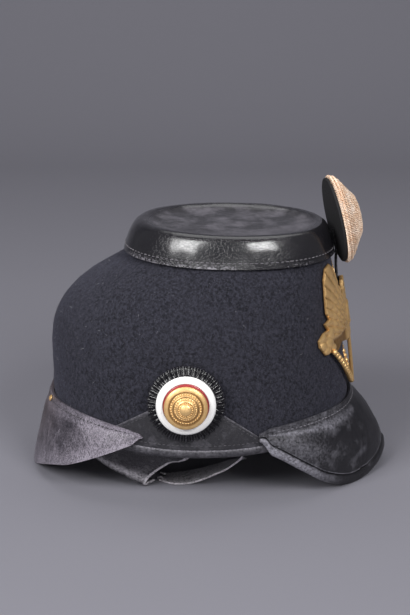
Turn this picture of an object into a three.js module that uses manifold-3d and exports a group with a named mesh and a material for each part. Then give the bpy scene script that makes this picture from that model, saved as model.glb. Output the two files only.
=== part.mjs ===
// A rifleman's shako: a felt body with a leather top, a peak, a neck guard, side cockades, a gilt plate and
// a badge.
// Millimetres, +Z up, +X the front, +Y the wearer's left. The hat stands on its neck guard and on its peak.
import * as THREE from "three";
import { mergeVertices } from "three/addons/utils/BufferGeometryUtils.js";
import Module from "manifold-3d";

const wasm = await Module();
wasm.setup();

// Driving dimensions.
const FELT = 2.6; // wall of the felt body
const LEATHER = 1.8; // top, peak and neck guard
const THIN_LEATHER = 1.2; // binding, gussets and sweatband
const GAP = 0.3; // left between neighbouring pieces
const AROUND = 52; // steps round the head
const RIM = { side: 34, end: 43 }; // height of the rim above the ground, at the sides and at front and rear
const BINDING_HEIGHT = 5.8; // the leather folded over the rim
const PEAK_BORDER = 8; // width of the raised border of the peak
const EDGE_INSET = 1; // from the peak's outermost line in to its border
const COCKADE = { x: -14.5, z: 72, lean: 4.5, teeth: 54 };
const STUD = { angle: 14, z: 52.8, out: 3.3, rise: 0.36 }; // on the sewn strip of the neck guard
const BADGE = { x: 84.9, z: 174, halfHeight: 30.5, halfWidth: 25, lean: 12.3, twist: 9.5 };
const PLATE = { thickness: 1.2, standOff: 0.6, ridge: 2.4, ridgeWidth: 10 }; // ridged along its middle

const rad = THREE.MathUtils.degToRad;
const vec = (x, y, z) => new THREE.Vector3(x, y, z);

// ---- Tables -----------------------------------------------------------------------------------

// Outside of the felt, by height: its rear and front points and its half width.
const BODY = [
  { z: 28, rear: -108.6, front: 97.9, half: 89.3 },
  { z: 50, rear: -109.6, front: 97.6, half: 88.2 },
  { z: 62, rear: -110.6, front: 96.8, half: 87.2 },
  { z: 78, rear: -111.2, front: 95.2, half: 85.9 },
  { z: 95, rear: -111, front: 93.1, half: 83.4 },
  { z: 108, rear: -108.6, front: 91.2, half: 80.2 },
  { z: 120, rear: -102.3, front: 89.2, half: 76.4 },
  { z: 130, rear: -93.4, front: 87.6, half: 72.6 },
  { z: 138, rear: -82.9, front: 86.3, half: 68.8 },
  { z: 145, rear: -71.4, front: 85.1, half: 64.4 },
  { z: 151, rear: -61.8, front: 84.2, half: 59.2 },
  { z: 154.6, rear: -57.1, front: 83.5, half: 55.8 },
  { z: 161, rear: -55, front: 82.2, half: 54.2 },
  { z: 168, rear: -52, front: 80, half: 51.4 },
];

// Leather top, from its hem over the crest to the middle of the sunken top. toCrest runs from the hem's
// outline to the crest's, rise from the hem's height to the crest's, and toMiddle from the crest to the centre.
const TOP_HEM = { rear: -59.4, front: 86.2, half: 58.2, rearZ: 155.8, frontZ: 153.4 };
const TOP_CREST = { rear: -45.6, front: 76.8, half: 47.6, rearZ: 176.2, frontZ: 174.2 };
const TOP_WALL = [
  { toCrest: 0, rise: 0 },
  { toCrest: 0.15, rise: 0.32 },
  { toCrest: 0.34, rise: 0.64 },
  { toCrest: 0.58, rise: 0.88 },
  { toCrest: 0.8, rise: 0.975 },
  { toCrest: 1, rise: 1 },
];
const TOP_SUNK = [
  { toMiddle: 0.06, drop: 0.5 },
  { toMiddle: 0.13, drop: 2 },
  { toMiddle: 0.25, drop: 3.3 },
];
// Its inner side: the outer row that each row lies under, and its share of the thickness each way.
const TOP_LINING = [
  { under: 0, inwards: 1, down: 0 },
  { under: 1, inwards: 1, down: 0.2 },
  { under: 2, inwards: 1, down: 0.2 },
  { under: 3, inwards: 0.6, down: 1 },
  { under: 5, inwards: 0.6, down: 1 },
  { under: 8, inwards: 0.6, down: 1 },
];

// Outer edge of the peak and of the neck guard on one side, from the middle (t = 0) to the tip (t = 1). wall is
// the angle of the point on the body that it leads from, and top and crease are the heights of its sewn strip.
const PEAK = [
  { t: 0, wall: 0, x: 125.3, y: 0, z: 9, top: 54.6, crease: 50.6 },
  { t: 0.086, wall: 6, x: 123.4, y: 12, z: 7.4, top: 54.7, crease: 50.6 },
  { t: 0.176, wall: 12, x: 118.4, y: 24, z: 3.2, top: 54.8, crease: 50.5 },
  { t: 0.281, wall: 19, x: 109.8, y: 37, z: -0.5, top: 54.9, crease: 50.4 },
  { t: 0.426, wall: 29, x: 95.8, y: 52, z: -1.2, top: 54.9, crease: 50.1 },
  { t: 0.598, wall: 41, x: 79, y: 67, z: 6.2, top: 54.8, crease: 49.7 },
  { t: 0.72, wall: 50, x: 65.6, y: 75.4, z: 16, top: 54.4, crease: 49.2 },
  { t: 0.854, wall: 60, x: 50, y: 82, z: 27.6, top: 53.4, crease: 49 },
  { t: 1, wall: 70, x: 33, y: 87, z: 38.4, top: 51.6, crease: 48.4 },
];
const GUARD = [
  { t: 0, wall: 0, x: -126.4, y: 0, z: -0.7, top: 55.4, crease: 50.8 },
  { t: 0.114, wall: 8, x: -124, y: 16, z: 1.2, top: 55.6, crease: 50.8 },
  { t: 0.276, wall: 19, x: -117.4, y: 36, z: 8.2, top: 55.9, crease: 50.9 },
  { t: 0.459, wall: 32, x: -105.4, y: 56, z: 16, top: 56.2, crease: 51 },
  { t: 0.569, wall: 39, x: -95, y: 67, z: 20.6, top: 55.9, crease: 50.8 },
  { t: 0.816, wall: 55, x: -68.6, y: 82.4, z: 34.4, top: 53.8, crease: 49.8 },
  { t: 1, wall: 69, x: -43, y: 87, z: 46.2, top: 50.4, crease: 48.6 },
];

// Leather gusset on each side: its upper edge, by angle from the front, rises to a point behind the cockade.
const GUSSET_EDGE = [
  { angle: 67, z: 43.4 },
  { angle: 93.5, z: 79 },
  { angle: 123, z: 50.8 },
];

// Gilt plate: one half of its outline, from the head of a plain spread bird down to the foot of its rods.
const PLATE_HALF = [
  { y: 0, z: 134 },
  { y: 5, z: 132 },
  { y: 6.5, z: 126 },
  { y: 12, z: 121 },
  { y: 15, z: 129 },
  { y: 19, z: 141 },
  { y: 24.6, z: 149.6 },
  { y: 30.6, z: 147.6 },
  { y: 35.1, z: 141 },
  { y: 38.1, z: 129 },
  { y: 40.1, z: 118.5 },
  { y: 38.6, z: 114.5 },
  { y: 44, z: 112.4 },
  { y: 42.2, z: 108 },
  { y: 46.8, z: 107 },
  { y: 51.6, z: 103 },
  { y: 52, z: 98.4 },
  { y: 48.6, z: 92 },
  { y: 41.6, z: 92 },
  { y: 30.6, z: 80 },
  { y: 22, z: 69.6 },
  { y: 12, z: 61.6 },
  { y: 4, z: 57 },
  { y: 0, z: 56.4 },
];
const PLATE_OPENING = [
  { y: 2.6, z: 60.8 },
  { y: 11, z: 65.6 },
  { y: 20.4, z: 73.4 },
  { y: 29.6, z: 83 },
  { y: 35, z: 90 },
  { y: 24, z: 94 },
  { y: 12, z: 91 },
  { y: 2.6, z: 88 },
];
const PLATE_SPAN = { low: 54, high: 151.4, angle: 46 };

// Cockade: each ring's section as radius and height above the leather behind it. The black ring is pleated at
// its outer and its upper corners.
const BLACK_RING = [
  { r: 18.2, h: 1.6, outer: 0, upper: 0 },
  { r: 26.2, h: 0.1, outer: 1, upper: 0 },
  { r: 26.2, h: 1.3, outer: 1, upper: 1 },
  { r: 18.2, h: 4.2, outer: 0, upper: 1 },
];
const WHITE_RING = [
  { r: 19.2, h: 4.4 },
  { r: 19.6, h: 5.1 },
  { r: 17.6, h: 6.3 },
  { r: 15.8, h: 6.8 },
  { r: 15.3, h: 6.4 },
  { r: 16.2, h: 4.7 },
];
const RED_RING = [
  { r: 14.9, h: 4.4 },
  { r: 15, h: 5.9 },
  { r: 12.4, h: 6.7 },
  { r: 12, h: 6 },
];
const BOSS = [
  { r: 0, h: 0.2 },
  { r: 5, h: 0.2 },
  { r: 5, h: 9 },
  { r: 11.4, h: 9.8 },
  { r: 14, h: 10 },
  { r: 14.4, h: 10.7 },
  { r: 13.6, h: 11.5 },
  { r: 11.2, h: 12.3 },
  { r: 9.6, h: 12.7 },
  { r: 8.4, h: 14 },
  { r: 6.6, h: 14.6 },
  { r: 5.6, h: 15.6 },
  { r: 4.4, h: 15.8 },
  { r: 3.6, h: 16.8 },
  { r: 1.6, h: 17.4 },
  { r: 0, h: 17.4 },
];

const STUD_SECTION = [
  { r: 0, h: 0.2 },
  { r: 2.2, h: 0.2 },
  { r: 2.1, h: 0.8 },
  { r: 1.2, h: 1.4 },
  { r: 0, h: 1.6 },
];

// Field badge: its flat back and its domed bullion, by depth in front of the back, as shares of the oval's size.
const BADGE_BACK = [
  { depth: 0, share: 0.96 },
  { depth: 0.4, share: 0.985 },
  { depth: 2, share: 0.975 },
];
const BADGE_DOME = [
  { depth: 2.3, share: 0.98 },
  { depth: 4.6, share: 1 },
  { depth: 6.6, share: 0.94 },
  { depth: 10.4, share: 0.76 },
  { depth: 14.2, share: 0.57 },
  { depth: 17.2, share: 0.42 },
  { depth: 18, share: 0.28 },
];

// Loose rear end of the sweatband: a row for each station, from its cut end to where it is still sewn in, with
// the points from its upper edge inside the rim, down to the fold and under it.
const FLAP = [
  {
    edge: vec(-9, -82, 39),
    rim: vec(-15.7, -80, 29),
    upper: vec(-27.2, -72, 23.3),
    lower: vec(-39.8, -62, 10.4),
    fold: vec(-44.5, -58, 1.4),
    under: vec(-38, -51, 1.6),
  },
  {
    edge: vec(-30, -78.5, 40),
    rim: vec(-35, -75.5, 31.5),
    upper: vec(-45, -69, 25.5),
    lower: vec(-54.5, -62, 15.5),
    fold: vec(-58.5, -58, 8.6),
    under: vec(-52, -52, 8.6),
  },
  {
    edge: vec(-52, -71, 41),
    rim: vec(-56, -69, 34),
    upper: vec(-64, -64.5, 29.5),
    lower: vec(-72, -59.5, 22.5),
    fold: vec(-75, -56, 18),
    under: vec(-68, -51, 18),
  },
  {
    edge: vec(-70, -60, 42.5),
    rim: vec(-73.5, -58, 37.5),
    upper: vec(-79.5, -54.5, 34),
    lower: vec(-85.5, -50.5, 29.5),
    fold: vec(-87.5, -47.5, 26.5),
    under: vec(-82, -43, 26.5),
  },
];

// Loose front strip of the sweatband: a row for each station, from its torn end by the ground to the rim.
const STRIP = [
  { near: vec(-35.5, -48.5, 1.7), far: vec(-34.5, -38, 2) },
  { near: vec(-26, -54, 1.7), far: vec(-27, -36, 2) },
  { near: vec(-16, -54, 1.7), far: vec(-17, -35.5, 2.6) },
  { near: vec(-9, -56, 4), far: vec(-9.5, -37.5, 5) },
  { near: vec(-1, -60, 8.8), far: vec(-0.5, -41.5, 8.8) },
  { near: vec(9.4, -67, 16.8), far: vec(11, -48.5, 15.5) },
  { near: vec(16.3, -73, 23.8), far: vec(18.5, -55.5, 20) },
  { near: vec(21.4, -77.5, 31.6), far: vec(25, -62, 24) },
];

// Wire that holds the badge, from behind the badge down to behind the plate.
const WIRE_RADIUS = 1;
const PRONG = [
  { x: 84.7, z: 168 },
  { x: 86.4, z: 160 },
  { x: 87.5, z: 154 },
  { x: 87.4, z: 148 },
  { x: 87.7, z: 140 },
  { x: 89.3, z: 126 },
];

// ---- Helpers ----------------------------------------------------------------------------------

// A smooth curve through one column of a table, as a function of its key column.
function smoothColumn(rows, key, name) {
  const slope = (i) => {
    const a = rows[Math.max(i - 1, 0)];
    const b = rows[Math.min(i + 1, rows.length - 1)];
    return (b[name] - a[name]) / (b[key] - a[key]);
  };
  return (at) => {
    const above = rows.findIndex((row) => row[key] >= at);
    const i = Math.max((above < 0 ? rows.length : above) - 1, 0);
    const j = Math.min(i + 1, rows.length - 1);
    if (i === j) return rows[i][name];
    const width = rows[j][key] - rows[i][key];
    const u = (at - rows[i][key]) / width;
    const rising = u * u * (3 - 2 * u);
    const value = rows[i][name] * (1 - rising) + rows[j][name] * rising;
    return value + width * u * (1 - u) * (slope(i) * (1 - u) - slope(j) * u);
  };
}

// A geometry from points and faces, turned so that its faces point outwards.
function closedGeometry(points, faces) {
  let volume = 0;
  for (const [a, b, c] of faces) volume += points[a].dot(points[b].clone().cross(points[c]));
  const index = faces.flatMap(([a, b, c]) => (volume < 0 ? [a, c, b] : [a, b, c]));
  const geometry = new THREE.BufferGeometry().setFromPoints(points);
  geometry.setIndex(index);
  return geometry;
}

// Two triangles between neighbouring points of two rows.
const quad = (a, b, c, d) => [
  [a, b, c],
  [a, c, d],
];

// A solid skinned over closed rings of equal length. With endless rings the last ring meets the first, and
// otherwise both ends are closed at their middle.
function ringSolid(rings, endless) {
  const points = rings.flat();
  const n = rings[0].length;
  const faces = [];
  const pairs = endless ? rings.length : rings.length - 1;
  for (let i = 0; i < pairs; i++) {
    const low = i * n;
    const high = ((i + 1) % rings.length) * n;
    for (let j = 0; j < n; j++) {
      const k = (j + 1) % n;
      faces.push(...quad(low + j, low + k, high + k, high + j));
    }
  }
  if (!endless) {
    [0, rings.length - 1].forEach((ring, end) => {
      const middle = points.length;
      points.push(rings[ring].reduce((sum, p) => sum.add(p), vec(0, 0, 0)).divideScalar(n));
      for (let j = 0; j < n; j++) {
        const edge = [ring * n + j, ring * n + ((j + 1) % n)];
        faces.push(end ? [edge[0], edge[1], middle] : [edge[1], edge[0], middle]);
      }
    });
  }
  return closedGeometry(points, faces);
}

// A sheet of even thickness under a grid of points, grid[i][j].
function sheetSolid(grid, thickness) {
  const rows = grid.length;
  const columns = grid[0].length;
  const at = (i, j) => grid[Math.min(Math.max(i, 0), rows - 1)][Math.min(Math.max(j, 0), columns - 1)];
  const upper = grid.flat();
  const lower = upper.map((p, n) => {
    const i = Math.floor(n / columns);
    const j = n % columns;
    const along = at(i + 1, j).clone().sub(at(i - 1, j));
    const across = at(i, j + 1).clone().sub(at(i, j - 1));
    return p.clone().addScaledVector(along.cross(across).normalize(), thickness);
  });
  const faces = [];
  const base = upper.length;
  const id = (i, j) => i * columns + j;
  for (let i = 0; i < rows - 1; i++) {
    for (let j = 0; j < columns - 1; j++) {
      const corners = [id(i, j), id(i + 1, j), id(i + 1, j + 1), id(i, j + 1)];
      faces.push(...quad(...corners));
      faces.push(...quad(...corners.reverse().map((n) => n + base)));
    }
  }
  const border = [];
  for (let i = 0; i < rows - 1; i++) border.push(id(i, 0));
  for (let j = 0; j < columns - 1; j++) border.push(id(rows - 1, j));
  for (let i = rows - 1; i > 0; i--) border.push(id(i, columns - 1));
  for (let j = columns - 1; j > 0; j--) border.push(id(0, j));
  border.forEach((a, n) => {
    const b = border[(n + 1) % border.length];
    faces.push(...quad(b, a, a + base, b + base));
  });
  return closedGeometry([...upper, ...lower], faces);
}

// A grid of points through a coarse grid of control points, with the given steps between them.
function fineGrid(coarse, stepsAlong, stepsAcross) {
  const curveThrough = (points, steps) => new THREE.CatmullRomCurve3(points).getPoints(steps);
  const across = coarse.map((row) => curveThrough(row, stepsAcross));
  const columns = across[0].map((_, j) => curveThrough(across.map((row) => row[j]), stepsAlong));
  return columns[0].map((_, i) => columns.map((column) => column[i]));
}

function toManifold(geometry) {
  const bare = new THREE.BufferGeometry();
  const source = geometry.index ? geometry : mergeVertices(geometry);
  bare.setAttribute("position", source.getAttribute("position"));
  bare.setIndex(source.index);
  const merged = mergeVertices(bare, 1e-4);
  const vertProperties = merged.getAttribute("position").array;
  const triVerts = new Uint32Array(merged.index.array);
  return new wasm.Manifold(new wasm.Mesh({ numProp: 3, vertProperties, triVerts }));
}

function fromManifold(manifold) {
  const { vertProperties, triVerts } = manifold.getMesh();
  const geometry = new THREE.BufferGeometry();
  geometry.setAttribute("position", new THREE.BufferAttribute(vertProperties, 3));
  geometry.setIndex(new THREE.BufferAttribute(triVerts, 1));
  return geometry;
}

// What reaches below the surface that the hat stands on is worn flat.
function flattenBelowGround(geometry) {
  const depth = 40;
  const ground = new THREE.BoxGeometry(400, 400, depth).translate(0, 0, -depth / 2);
  return fromManifold(toManifold(geometry).subtract(toManifold(ground)));
}

// ---- The felt body's surface ------------------------------------------------------------------

const bodyRear = smoothColumn(BODY, "z", "rear");
const bodyFront = smoothColumn(BODY, "z", "front");
const bodyHalf = smoothColumn(BODY, "z", "half");

// A point of an oval section with its outline a little fuller than an ellipse's.
function ovalPoint(rear, front, half, angle, z) {
  const fullness = 2 / 2.12;
  const power = (value) => Math.sign(value) * Math.abs(value) ** fullness;
  const middle = (rear + front) / 2;
  const reach = (front - rear) / 2;
  return vec(middle + reach * power(Math.cos(angle)), half * power(Math.sin(angle)), z);
}

const bodySection = (angle, z) => ovalPoint(bodyRear(z), bodyFront(z), bodyHalf(z), angle, z);

// A point at an angle and height on the body, moved outwards, square to the felt.
function onBody(angle, z, out = 0) {
  const turn = 0.02;
  const lift = 0.5;
  const around = bodySection(angle + turn, z).sub(bodySection(angle - turn, z));
  const up = bodySection(angle, z + lift).sub(bodySection(angle, z - lift));
  return bodySection(angle, z).addScaledVector(around.cross(up).normalize(), out);
}

const rimHeight = (angle) => RIM.side + (RIM.end - RIM.side) * Math.cos(angle) ** 2;
const angles = Array.from({ length: AROUND }, (_, i) => (2 * Math.PI * i) / AROUND);

function feltBody() {
  const start = RIM.side + THIN_LEATHER + GAP;
  const level = 60; // above this height the sections are level
  const lift = (angle, z) => {
    const share = THREE.MathUtils.clamp((level - z) / (level - start), 0, 1);
    return z + (rimHeight(angle) - RIM.side) * share;
  };
  const ring = (z, out) => angles.map((angle) => onBody(angle, lift(angle, z), out));
  const outer = [start, 50, 64, 80, 95, 108, 119, 128, 136, 143, 149, 154.4, 166.5];
  const inner = [start, 60, 84, 103, 118, 130, 140, 150, 163];
  const crown = { x: 15, above: 167.4, below: 164.6, share: 0.35 }; // the flat top under the leather
  const crownRing = (z) => ring(z, 0).map((p) => p.clone().lerp(vec(crown.x, 0, z), crown.share));
  const walls = [...outer.reverse().map((z) => ring(z, 0)), ...inner.map((z) => ring(z, -FELT))];
  return ringSolid([crownRing(crown.above), ...walls, crownRing(crown.below)], false);
}

// ---- Leather top ------------------------------------------------------------------------------

function topPoint(toCrest, rise, angle) {
  const mix = (name, share) => THREE.MathUtils.lerp(TOP_HEM[name], TOP_CREST[name], share);
  const toFront = (1 + Math.cos(angle)) / 2;
  const z = THREE.MathUtils.lerp(mix("rearZ", rise), mix("frontZ", rise), toFront);
  return ovalPoint(mix("rear", toCrest), mix("front", toCrest), mix("half", toCrest), angle, z);
}

function leatherTop() {
  const wall = TOP_WALL.map((row) => angles.map((angle) => topPoint(row.toCrest, row.rise, angle)));
  const crest = wall[wall.length - 1];
  const middle = vec((TOP_CREST.rear + TOP_CREST.front) / 2, 0, (TOP_CREST.rearZ + TOP_CREST.frontZ) / 2);
  const sunk = TOP_SUNK.map(({ toMiddle, drop }) =>
    crest.map((p) => p.clone().lerp(middle, toMiddle).setZ(p.z + (middle.z - p.z) * toMiddle - drop)),
  );
  const outside = [...wall, ...sunk];
  const inside = TOP_LINING.map(({ under, inwards, down }) =>
    outside[under].map((p) => {
      const inward = middle.clone().sub(p).setZ(0).normalize();
      return p.clone().addScaledVector(inward, LEATHER * inwards).setZ(p.z - LEATHER * down);
    }),
  );
  return ringSolid([...outside.reverse(), ...inside], false);
}

// ---- Rim binding ------------------------------------------------------------------------------

// Thin leather folded over the lower edge of the felt.
function rimBinding() {
  const outside = GAP + THIN_LEATHER;
  const inside = -FELT - GAP;
  const rounding = 0.4;
  const section = [
    { out: GAP, up: BINDING_HEIGHT },
    { out: outside, up: BINDING_HEIGHT },
    { out: outside + GAP, up: BINDING_HEIGHT / 2 },
    { out: outside - rounding, up: rounding },
    { out: -FELT / 2, up: 0 },
    { out: inside - THIN_LEATHER + rounding, up: rounding },
    { out: inside - THIN_LEATHER, up: BINDING_HEIGHT },
    { out: inside, up: BINDING_HEIGHT },
    { out: inside, up: THIN_LEATHER },
    { out: GAP, up: THIN_LEATHER },
  ];
  const ring = ({ out, up }) => angles.map((angle) => onBody(angle, rimHeight(angle) + up, out));
  return ringSolid(section.map(ring), true);
}

// ---- Peak and neck guard ----------------------------------------------------------------------

// The upper surface of a peak or guard sewn to the body, by its place along (t from -1 to 1): the upper edge of
// its sewn strip, the curve across from the crease to the outer edge, and the outer edge itself.
function visor(rows, rearward, belly) {
  const column = (name) => smoothColumn(rows, "t", name);
  const [wall, x, y, z, top, crease] = ["wall", "x", "y", "z", "top", "crease"].map(column);
  const angleAt = (t) => {
    const angle = rad(wall(Math.abs(t))) * Math.sign(t || 1);
    return rearward ? Math.PI - angle : angle;
  };
  const overBinding = GAP + THIN_LEATHER + 2 * GAP + LEATHER;
  const gussetStarts = { from: 46, to: 56 };
  const topAt = (t) => {
    const overGusset = THREE.MathUtils.smoothstep(wall(Math.abs(t)), gussetStarts.from, gussetStarts.to);
    const out = THREE.MathUtils.lerp(GAP + LEATHER, overBinding, overGusset);
    return onBody(angleAt(t), top(Math.abs(t)), out);
  };
  const creaseAt = (t) => onBody(angleAt(t), crease(Math.abs(t)), overBinding);
  const edgeAt = (t) => vec(x(Math.abs(t)), y(Math.abs(t)) * Math.sign(t || 1), z(Math.abs(t)));
  const acrossAt = (t) => {
    const from = creaseAt(t);
    const to = edgeAt(t);
    const chord = to.clone().sub(from);
    const sideways = vec(-Math.sin(angleAt(t)), Math.cos(angleAt(t)), 0);
    const bulge = sideways.cross(chord).normalize().multiplyScalar(chord.length() * belly);
    if (bulge.z < 0) bulge.negate();
    return new THREE.QuadraticBezierCurve3(from, from.clone().lerp(to, 0.5).add(bulge), to);
  };
  return { topAt, acrossAt, edgeAt };
}

const peakVisor = visor(PEAK, false, 0.17);
const guardVisor = visor(GUARD, true, 0.05);

// Places along a visor, from one tip to the other.
const alongVisor = (steps) => Array.from({ length: steps + 1 }, (_, i) => (2 * i) / steps - 1);

// The rows of points of a visor's upper surface, which stops short of its outer edge by the given margin.
function visorSheet({ topAt, acrossAt }, margin) {
  const steps = 32;
  const least = 0.06; // the share of its width that is left at the tips
  return alongVisor(steps).map((t) => {
    const across = acrossAt(t);
    const reach = Math.max(least, 1 - margin / across.getLength());
    return [topAt(t), ...[0, 0.2, 0.4, 0.6, 0.8, 1].map((share) => across.getPoint(share * reach))];
  });
}

function frontPeak() {
  return sheetSolid(visorSheet(peakVisor, PEAK_BORDER + EDGE_INSET), LEATHER);
}

function neckGuard() {
  return flattenBelowGround(sheetSolid(visorSheet(guardVisor, 0).reverse(), LEATHER));
}

// The raised rolled border round the outer edge of the peak.
function peakBorder() {
  const sides = 10;
  const steps = 34;
  const halfThickness = 1.9;
  const nearby = 0.02; // how far along the edge its direction is measured
  const rings = alongVisor(steps).map((t) => {
    const across = peakVisor.acrossAt(t);
    const length = across.getLength();
    const width = Math.min(PEAK_BORDER, length * 0.94 - EDGE_INSET) - 2 * GAP;
    const place = 1 - (width / 2 + EDGE_INSET) / length;
    const outwards = across.getTangent(place);
    const along = peakVisor.edgeAt(Math.min(t + nearby, 1)).sub(peakVisor.edgeAt(Math.max(t - nearby, -1)));
    const up = outwards.clone().cross(along.normalize()).normalize().negate();
    const centre = across.getPoint(place).addScaledVector(up, -LEATHER / 2);
    return Array.from({ length: sides }, (_, i) => {
      const angle = (2 * Math.PI * i) / sides;
      const round = (value) => Math.sign(value) * Math.abs(value) ** 0.8;
      const offset = outwards.clone().multiplyScalar((width / 2) * round(Math.cos(angle)));
      return centre.clone().add(offset).addScaledVector(up, halfThickness * round(Math.sin(angle)));
    });
  });
  return flattenBelowGround(ringSolid(rings, false));
}

// ---- Gussets ----------------------------------------------------------------------------------

function gusset(side) {
  const steps = 20;
  const first = GUSSET_EDGE[0];
  const last = GUSSET_EDGE[GUSSET_EDGE.length - 1];
  const upperEdge = (angle) => {
    const next = Math.max(GUSSET_EDGE.findIndex((row) => row.angle >= angle), 1);
    const [a, b] = [GUSSET_EDGE[next - 1], GUSSET_EDGE[next]];
    return THREE.MathUtils.lerp(a.z, b.z, (angle - a.angle) / (b.angle - a.angle));
  };
  const grid = Array.from({ length: steps + 1 }, (_, i) => {
    const angle = THREE.MathUtils.lerp(first.angle, last.angle, i / steps);
    const low = rimHeight(rad(angle)) + BINDING_HEIGHT + GAP;
    const high = upperEdge(angle);
    return [0, 0.33, 0.67, 1].map((share) =>
      onBody(rad(angle) * side, THREE.MathUtils.lerp(low, high, share), GAP + THIN_LEATHER),
    );
  });
  return sheetSolid(side > 0 ? grid.reverse() : grid, THIN_LEATHER);
}

// ---- Cockades ---------------------------------------------------------------------------------

function turned(section, segments) {
  const profile = section.map(({ r, h }) => new THREE.Vector2(r, h));
  if (section[0].r > 0) profile.push(profile[0].clone());
  const lathe = new THREE.LatheGeometry(profile, segments).rotateX(Math.PI / 2);
  lathe.deleteAttribute("normal");
  lathe.deleteAttribute("uv");
  return fromManifold(toManifold(mergeVertices(lathe, 1e-4)));
}

// The pleated black ring: its teeth rise and fall round the edge.
function pleatedRing() {
  const steps = COCKADE.teeth * 2;
  const pleat = { inwards: 0.7, down: 0.6 };
  const ring = ({ r, h, outer, upper }) =>
    Array.from({ length: steps }, (_, k) => {
      const angle = (2 * Math.PI * k) / steps;
      const valley = 1 - (k % 2);
      const reach = r - pleat.inwards * outer * valley;
      return vec(reach * Math.cos(angle), reach * Math.sin(angle), h - pleat.down * upper * valley);
    });
  return ringSolid(BLACK_RING.map(ring), true);
}

function cockade(side, label) {
  const group = new THREE.Group();
  const middle = (bodyFront(COCKADE.z) + bodyRear(COCKADE.z)) / 2;
  const reach = (bodyFront(COCKADE.z) - bodyRear(COCKADE.z)) / 2;
  const angle = Math.acos((COCKADE.x - middle) / reach);
  const seat = onBody(angle * side, COCKADE.z, GAP + THIN_LEATHER + GAP);
  group.position.copy(seat);
  group.rotation.x = -side * (Math.PI / 2 - rad(COCKADE.lean));
  group.add(
    piece(`cockade_black_${label}`, pleatedRing(), ENAMEL_BLACK),
    piece(`cockade_white_${label}`, turned(WHITE_RING, 32), ENAMEL_WHITE),
    piece(`cockade_red_${label}`, turned(RED_RING, 24), ENAMEL_RED),
    piece(`cockade_boss_${label}`, turned(BOSS, 24), GILT),
  );
  return group;
}

// ---- Front plate ------------------------------------------------------------------------------

// A thin curved sheet that follows the felt and stands a little off it, cut to the outline of a spread bird.
function frontPlate() {
  const steps = 20;
  const rows = 9;
  const grid = Array.from({ length: steps + 1 }, (_, i) => {
    const angle = rad(PLATE_SPAN.angle) * ((2 * i) / steps - 1);
    return Array.from({ length: rows + 1 }, (_, j) => {
      const z = THREE.MathUtils.lerp(PLATE_SPAN.low, PLATE_SPAN.high, j / rows);
      const ridge = PLATE.ridge * Math.exp(-((onBody(angle, z).y / PLATE.ridgeWidth) ** 2));
      return onBody(angle, z, PLATE.standOff + PLATE.thickness + ridge);
    });
  });
  const outline = new THREE.Shape();
  const half = PLATE_HALF.map(({ y, z }) => new THREE.Vector2(y, z));
  const mirrored = half.slice(1, -1).map((p) => new THREE.Vector2(-p.x, p.y));
  outline.setFromPoints([...half, ...mirrored.reverse()].reverse());
  for (const side of [1, -1]) {
    const hole = new THREE.Path();
    outline.holes.push(hole.setFromPoints(PLATE_OPENING.map(({ y, z }) => new THREE.Vector2(y * side, z))));
  }
  const reach = { from: 40, depth: 80 }; // the cutter goes right through the front of the hat
  const cutter = new THREE.ExtrudeGeometry(outline, { depth: reach.depth, bevelEnabled: false, steps: 1 });
  cutter.deleteAttribute("normal");
  cutter.deleteAttribute("uv");
  cutter.applyMatrix4(new THREE.Matrix4().makeBasis(vec(0, 1, 0), vec(0, 0, 1), vec(1, 0, 0)));
  cutter.translate(reach.from, 0, 0);
  const sheet = toManifold(sheetSolid(grid.reverse(), PLATE.thickness));
  return fromManifold(sheet.intersect(toManifold(mergeVertices(cutter, 1e-4))));
}

// ---- Field badge ------------------------------------------------------------------------------

const ovalRing = (depth, share, steps = 40) =>
  Array.from({ length: steps }, (_, i) => {
    const angle = (2 * Math.PI * i) / steps;
    const across = BADGE.halfWidth * share * Math.cos(angle);
    return vec(depth, across, BADGE.halfHeight * share * Math.sin(angle));
  });

function fieldBadge() {
  const group = new THREE.Group();
  group.position.set(BADGE.x, 0, BADGE.z);
  group.rotation.order = "ZYX";
  group.rotation.z = rad(BADGE.twist);
  group.rotation.y = -rad(BADGE.lean);
  const back = BADGE_BACK.map(({ depth, share }) => ovalRing(depth, share));
  const dome = BADGE_DOME.map(({ depth, share }) => ovalRing(depth, share));
  group.add(piece("badge_back", ringSolid(back, false), BLACK_LEATHER));
  group.add(piece("badge_bullion", ringSolid(dome, false), BULLION));
  return group;
}

// The plain wire behind the badge, which slips down between the plate and the felt.
function badgeProng() {
  const points = PRONG.map(({ x, z }) => vec(x, 0, z));
  const circle = new THREE.Shape();
  circle.absarc(0, 0, WIRE_RADIUS, 0, 2 * Math.PI);
  const options = {
    steps: 14,
    curveSegments: 4,
    bevelEnabled: false,
    extrudePath: new THREE.CatmullRomCurve3(points),
  };
  const wire = new THREE.ExtrudeGeometry(circle, options);
  wire.deleteAttribute("normal");
  wire.deleteAttribute("uv");
  return fromManifold(toManifold(mergeVertices(wire, 1e-3)));
}

// ---- Small pieces -----------------------------------------------------------------------------

function guardStud() {
  const angle = Math.PI + rad(STUD.angle);
  const outward = vec(Math.cos(angle), Math.sin(angle), STUD.rise).normalize();
  const stud = piece("guard_stud", turned(STUD_SECTION, 16), GILT);
  stud.position.copy(onBody(angle, STUD.z, STUD.out)).addScaledVector(outward, GAP);
  stud.quaternion.setFromUnitVectors(vec(0, 0, 1), outward);
  return stud;
}

function sweatbandFlap() {
  const rows = FLAP.map(({ edge, rim, upper, lower, fold, under }) => [edge, rim, upper, lower, fold, under]);
  return sheetSolid(fineGrid(rows, 9, 12).reverse(), THIN_LEATHER);
}

function sweatbandStrip() {
  const rows = STRIP.map(({ near, far }) => [near, near.clone().lerp(far, 0.5), far]);
  return sheetSolid(fineGrid(rows, 14, 3).reverse(), THIN_LEATHER);
}

// ---- Materials and the assembly ---------------------------------------------------------------

function material(color, roughness, metalness = 0) {
  return new THREE.MeshStandardMaterial({ color, roughness, metalness });
}

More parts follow.
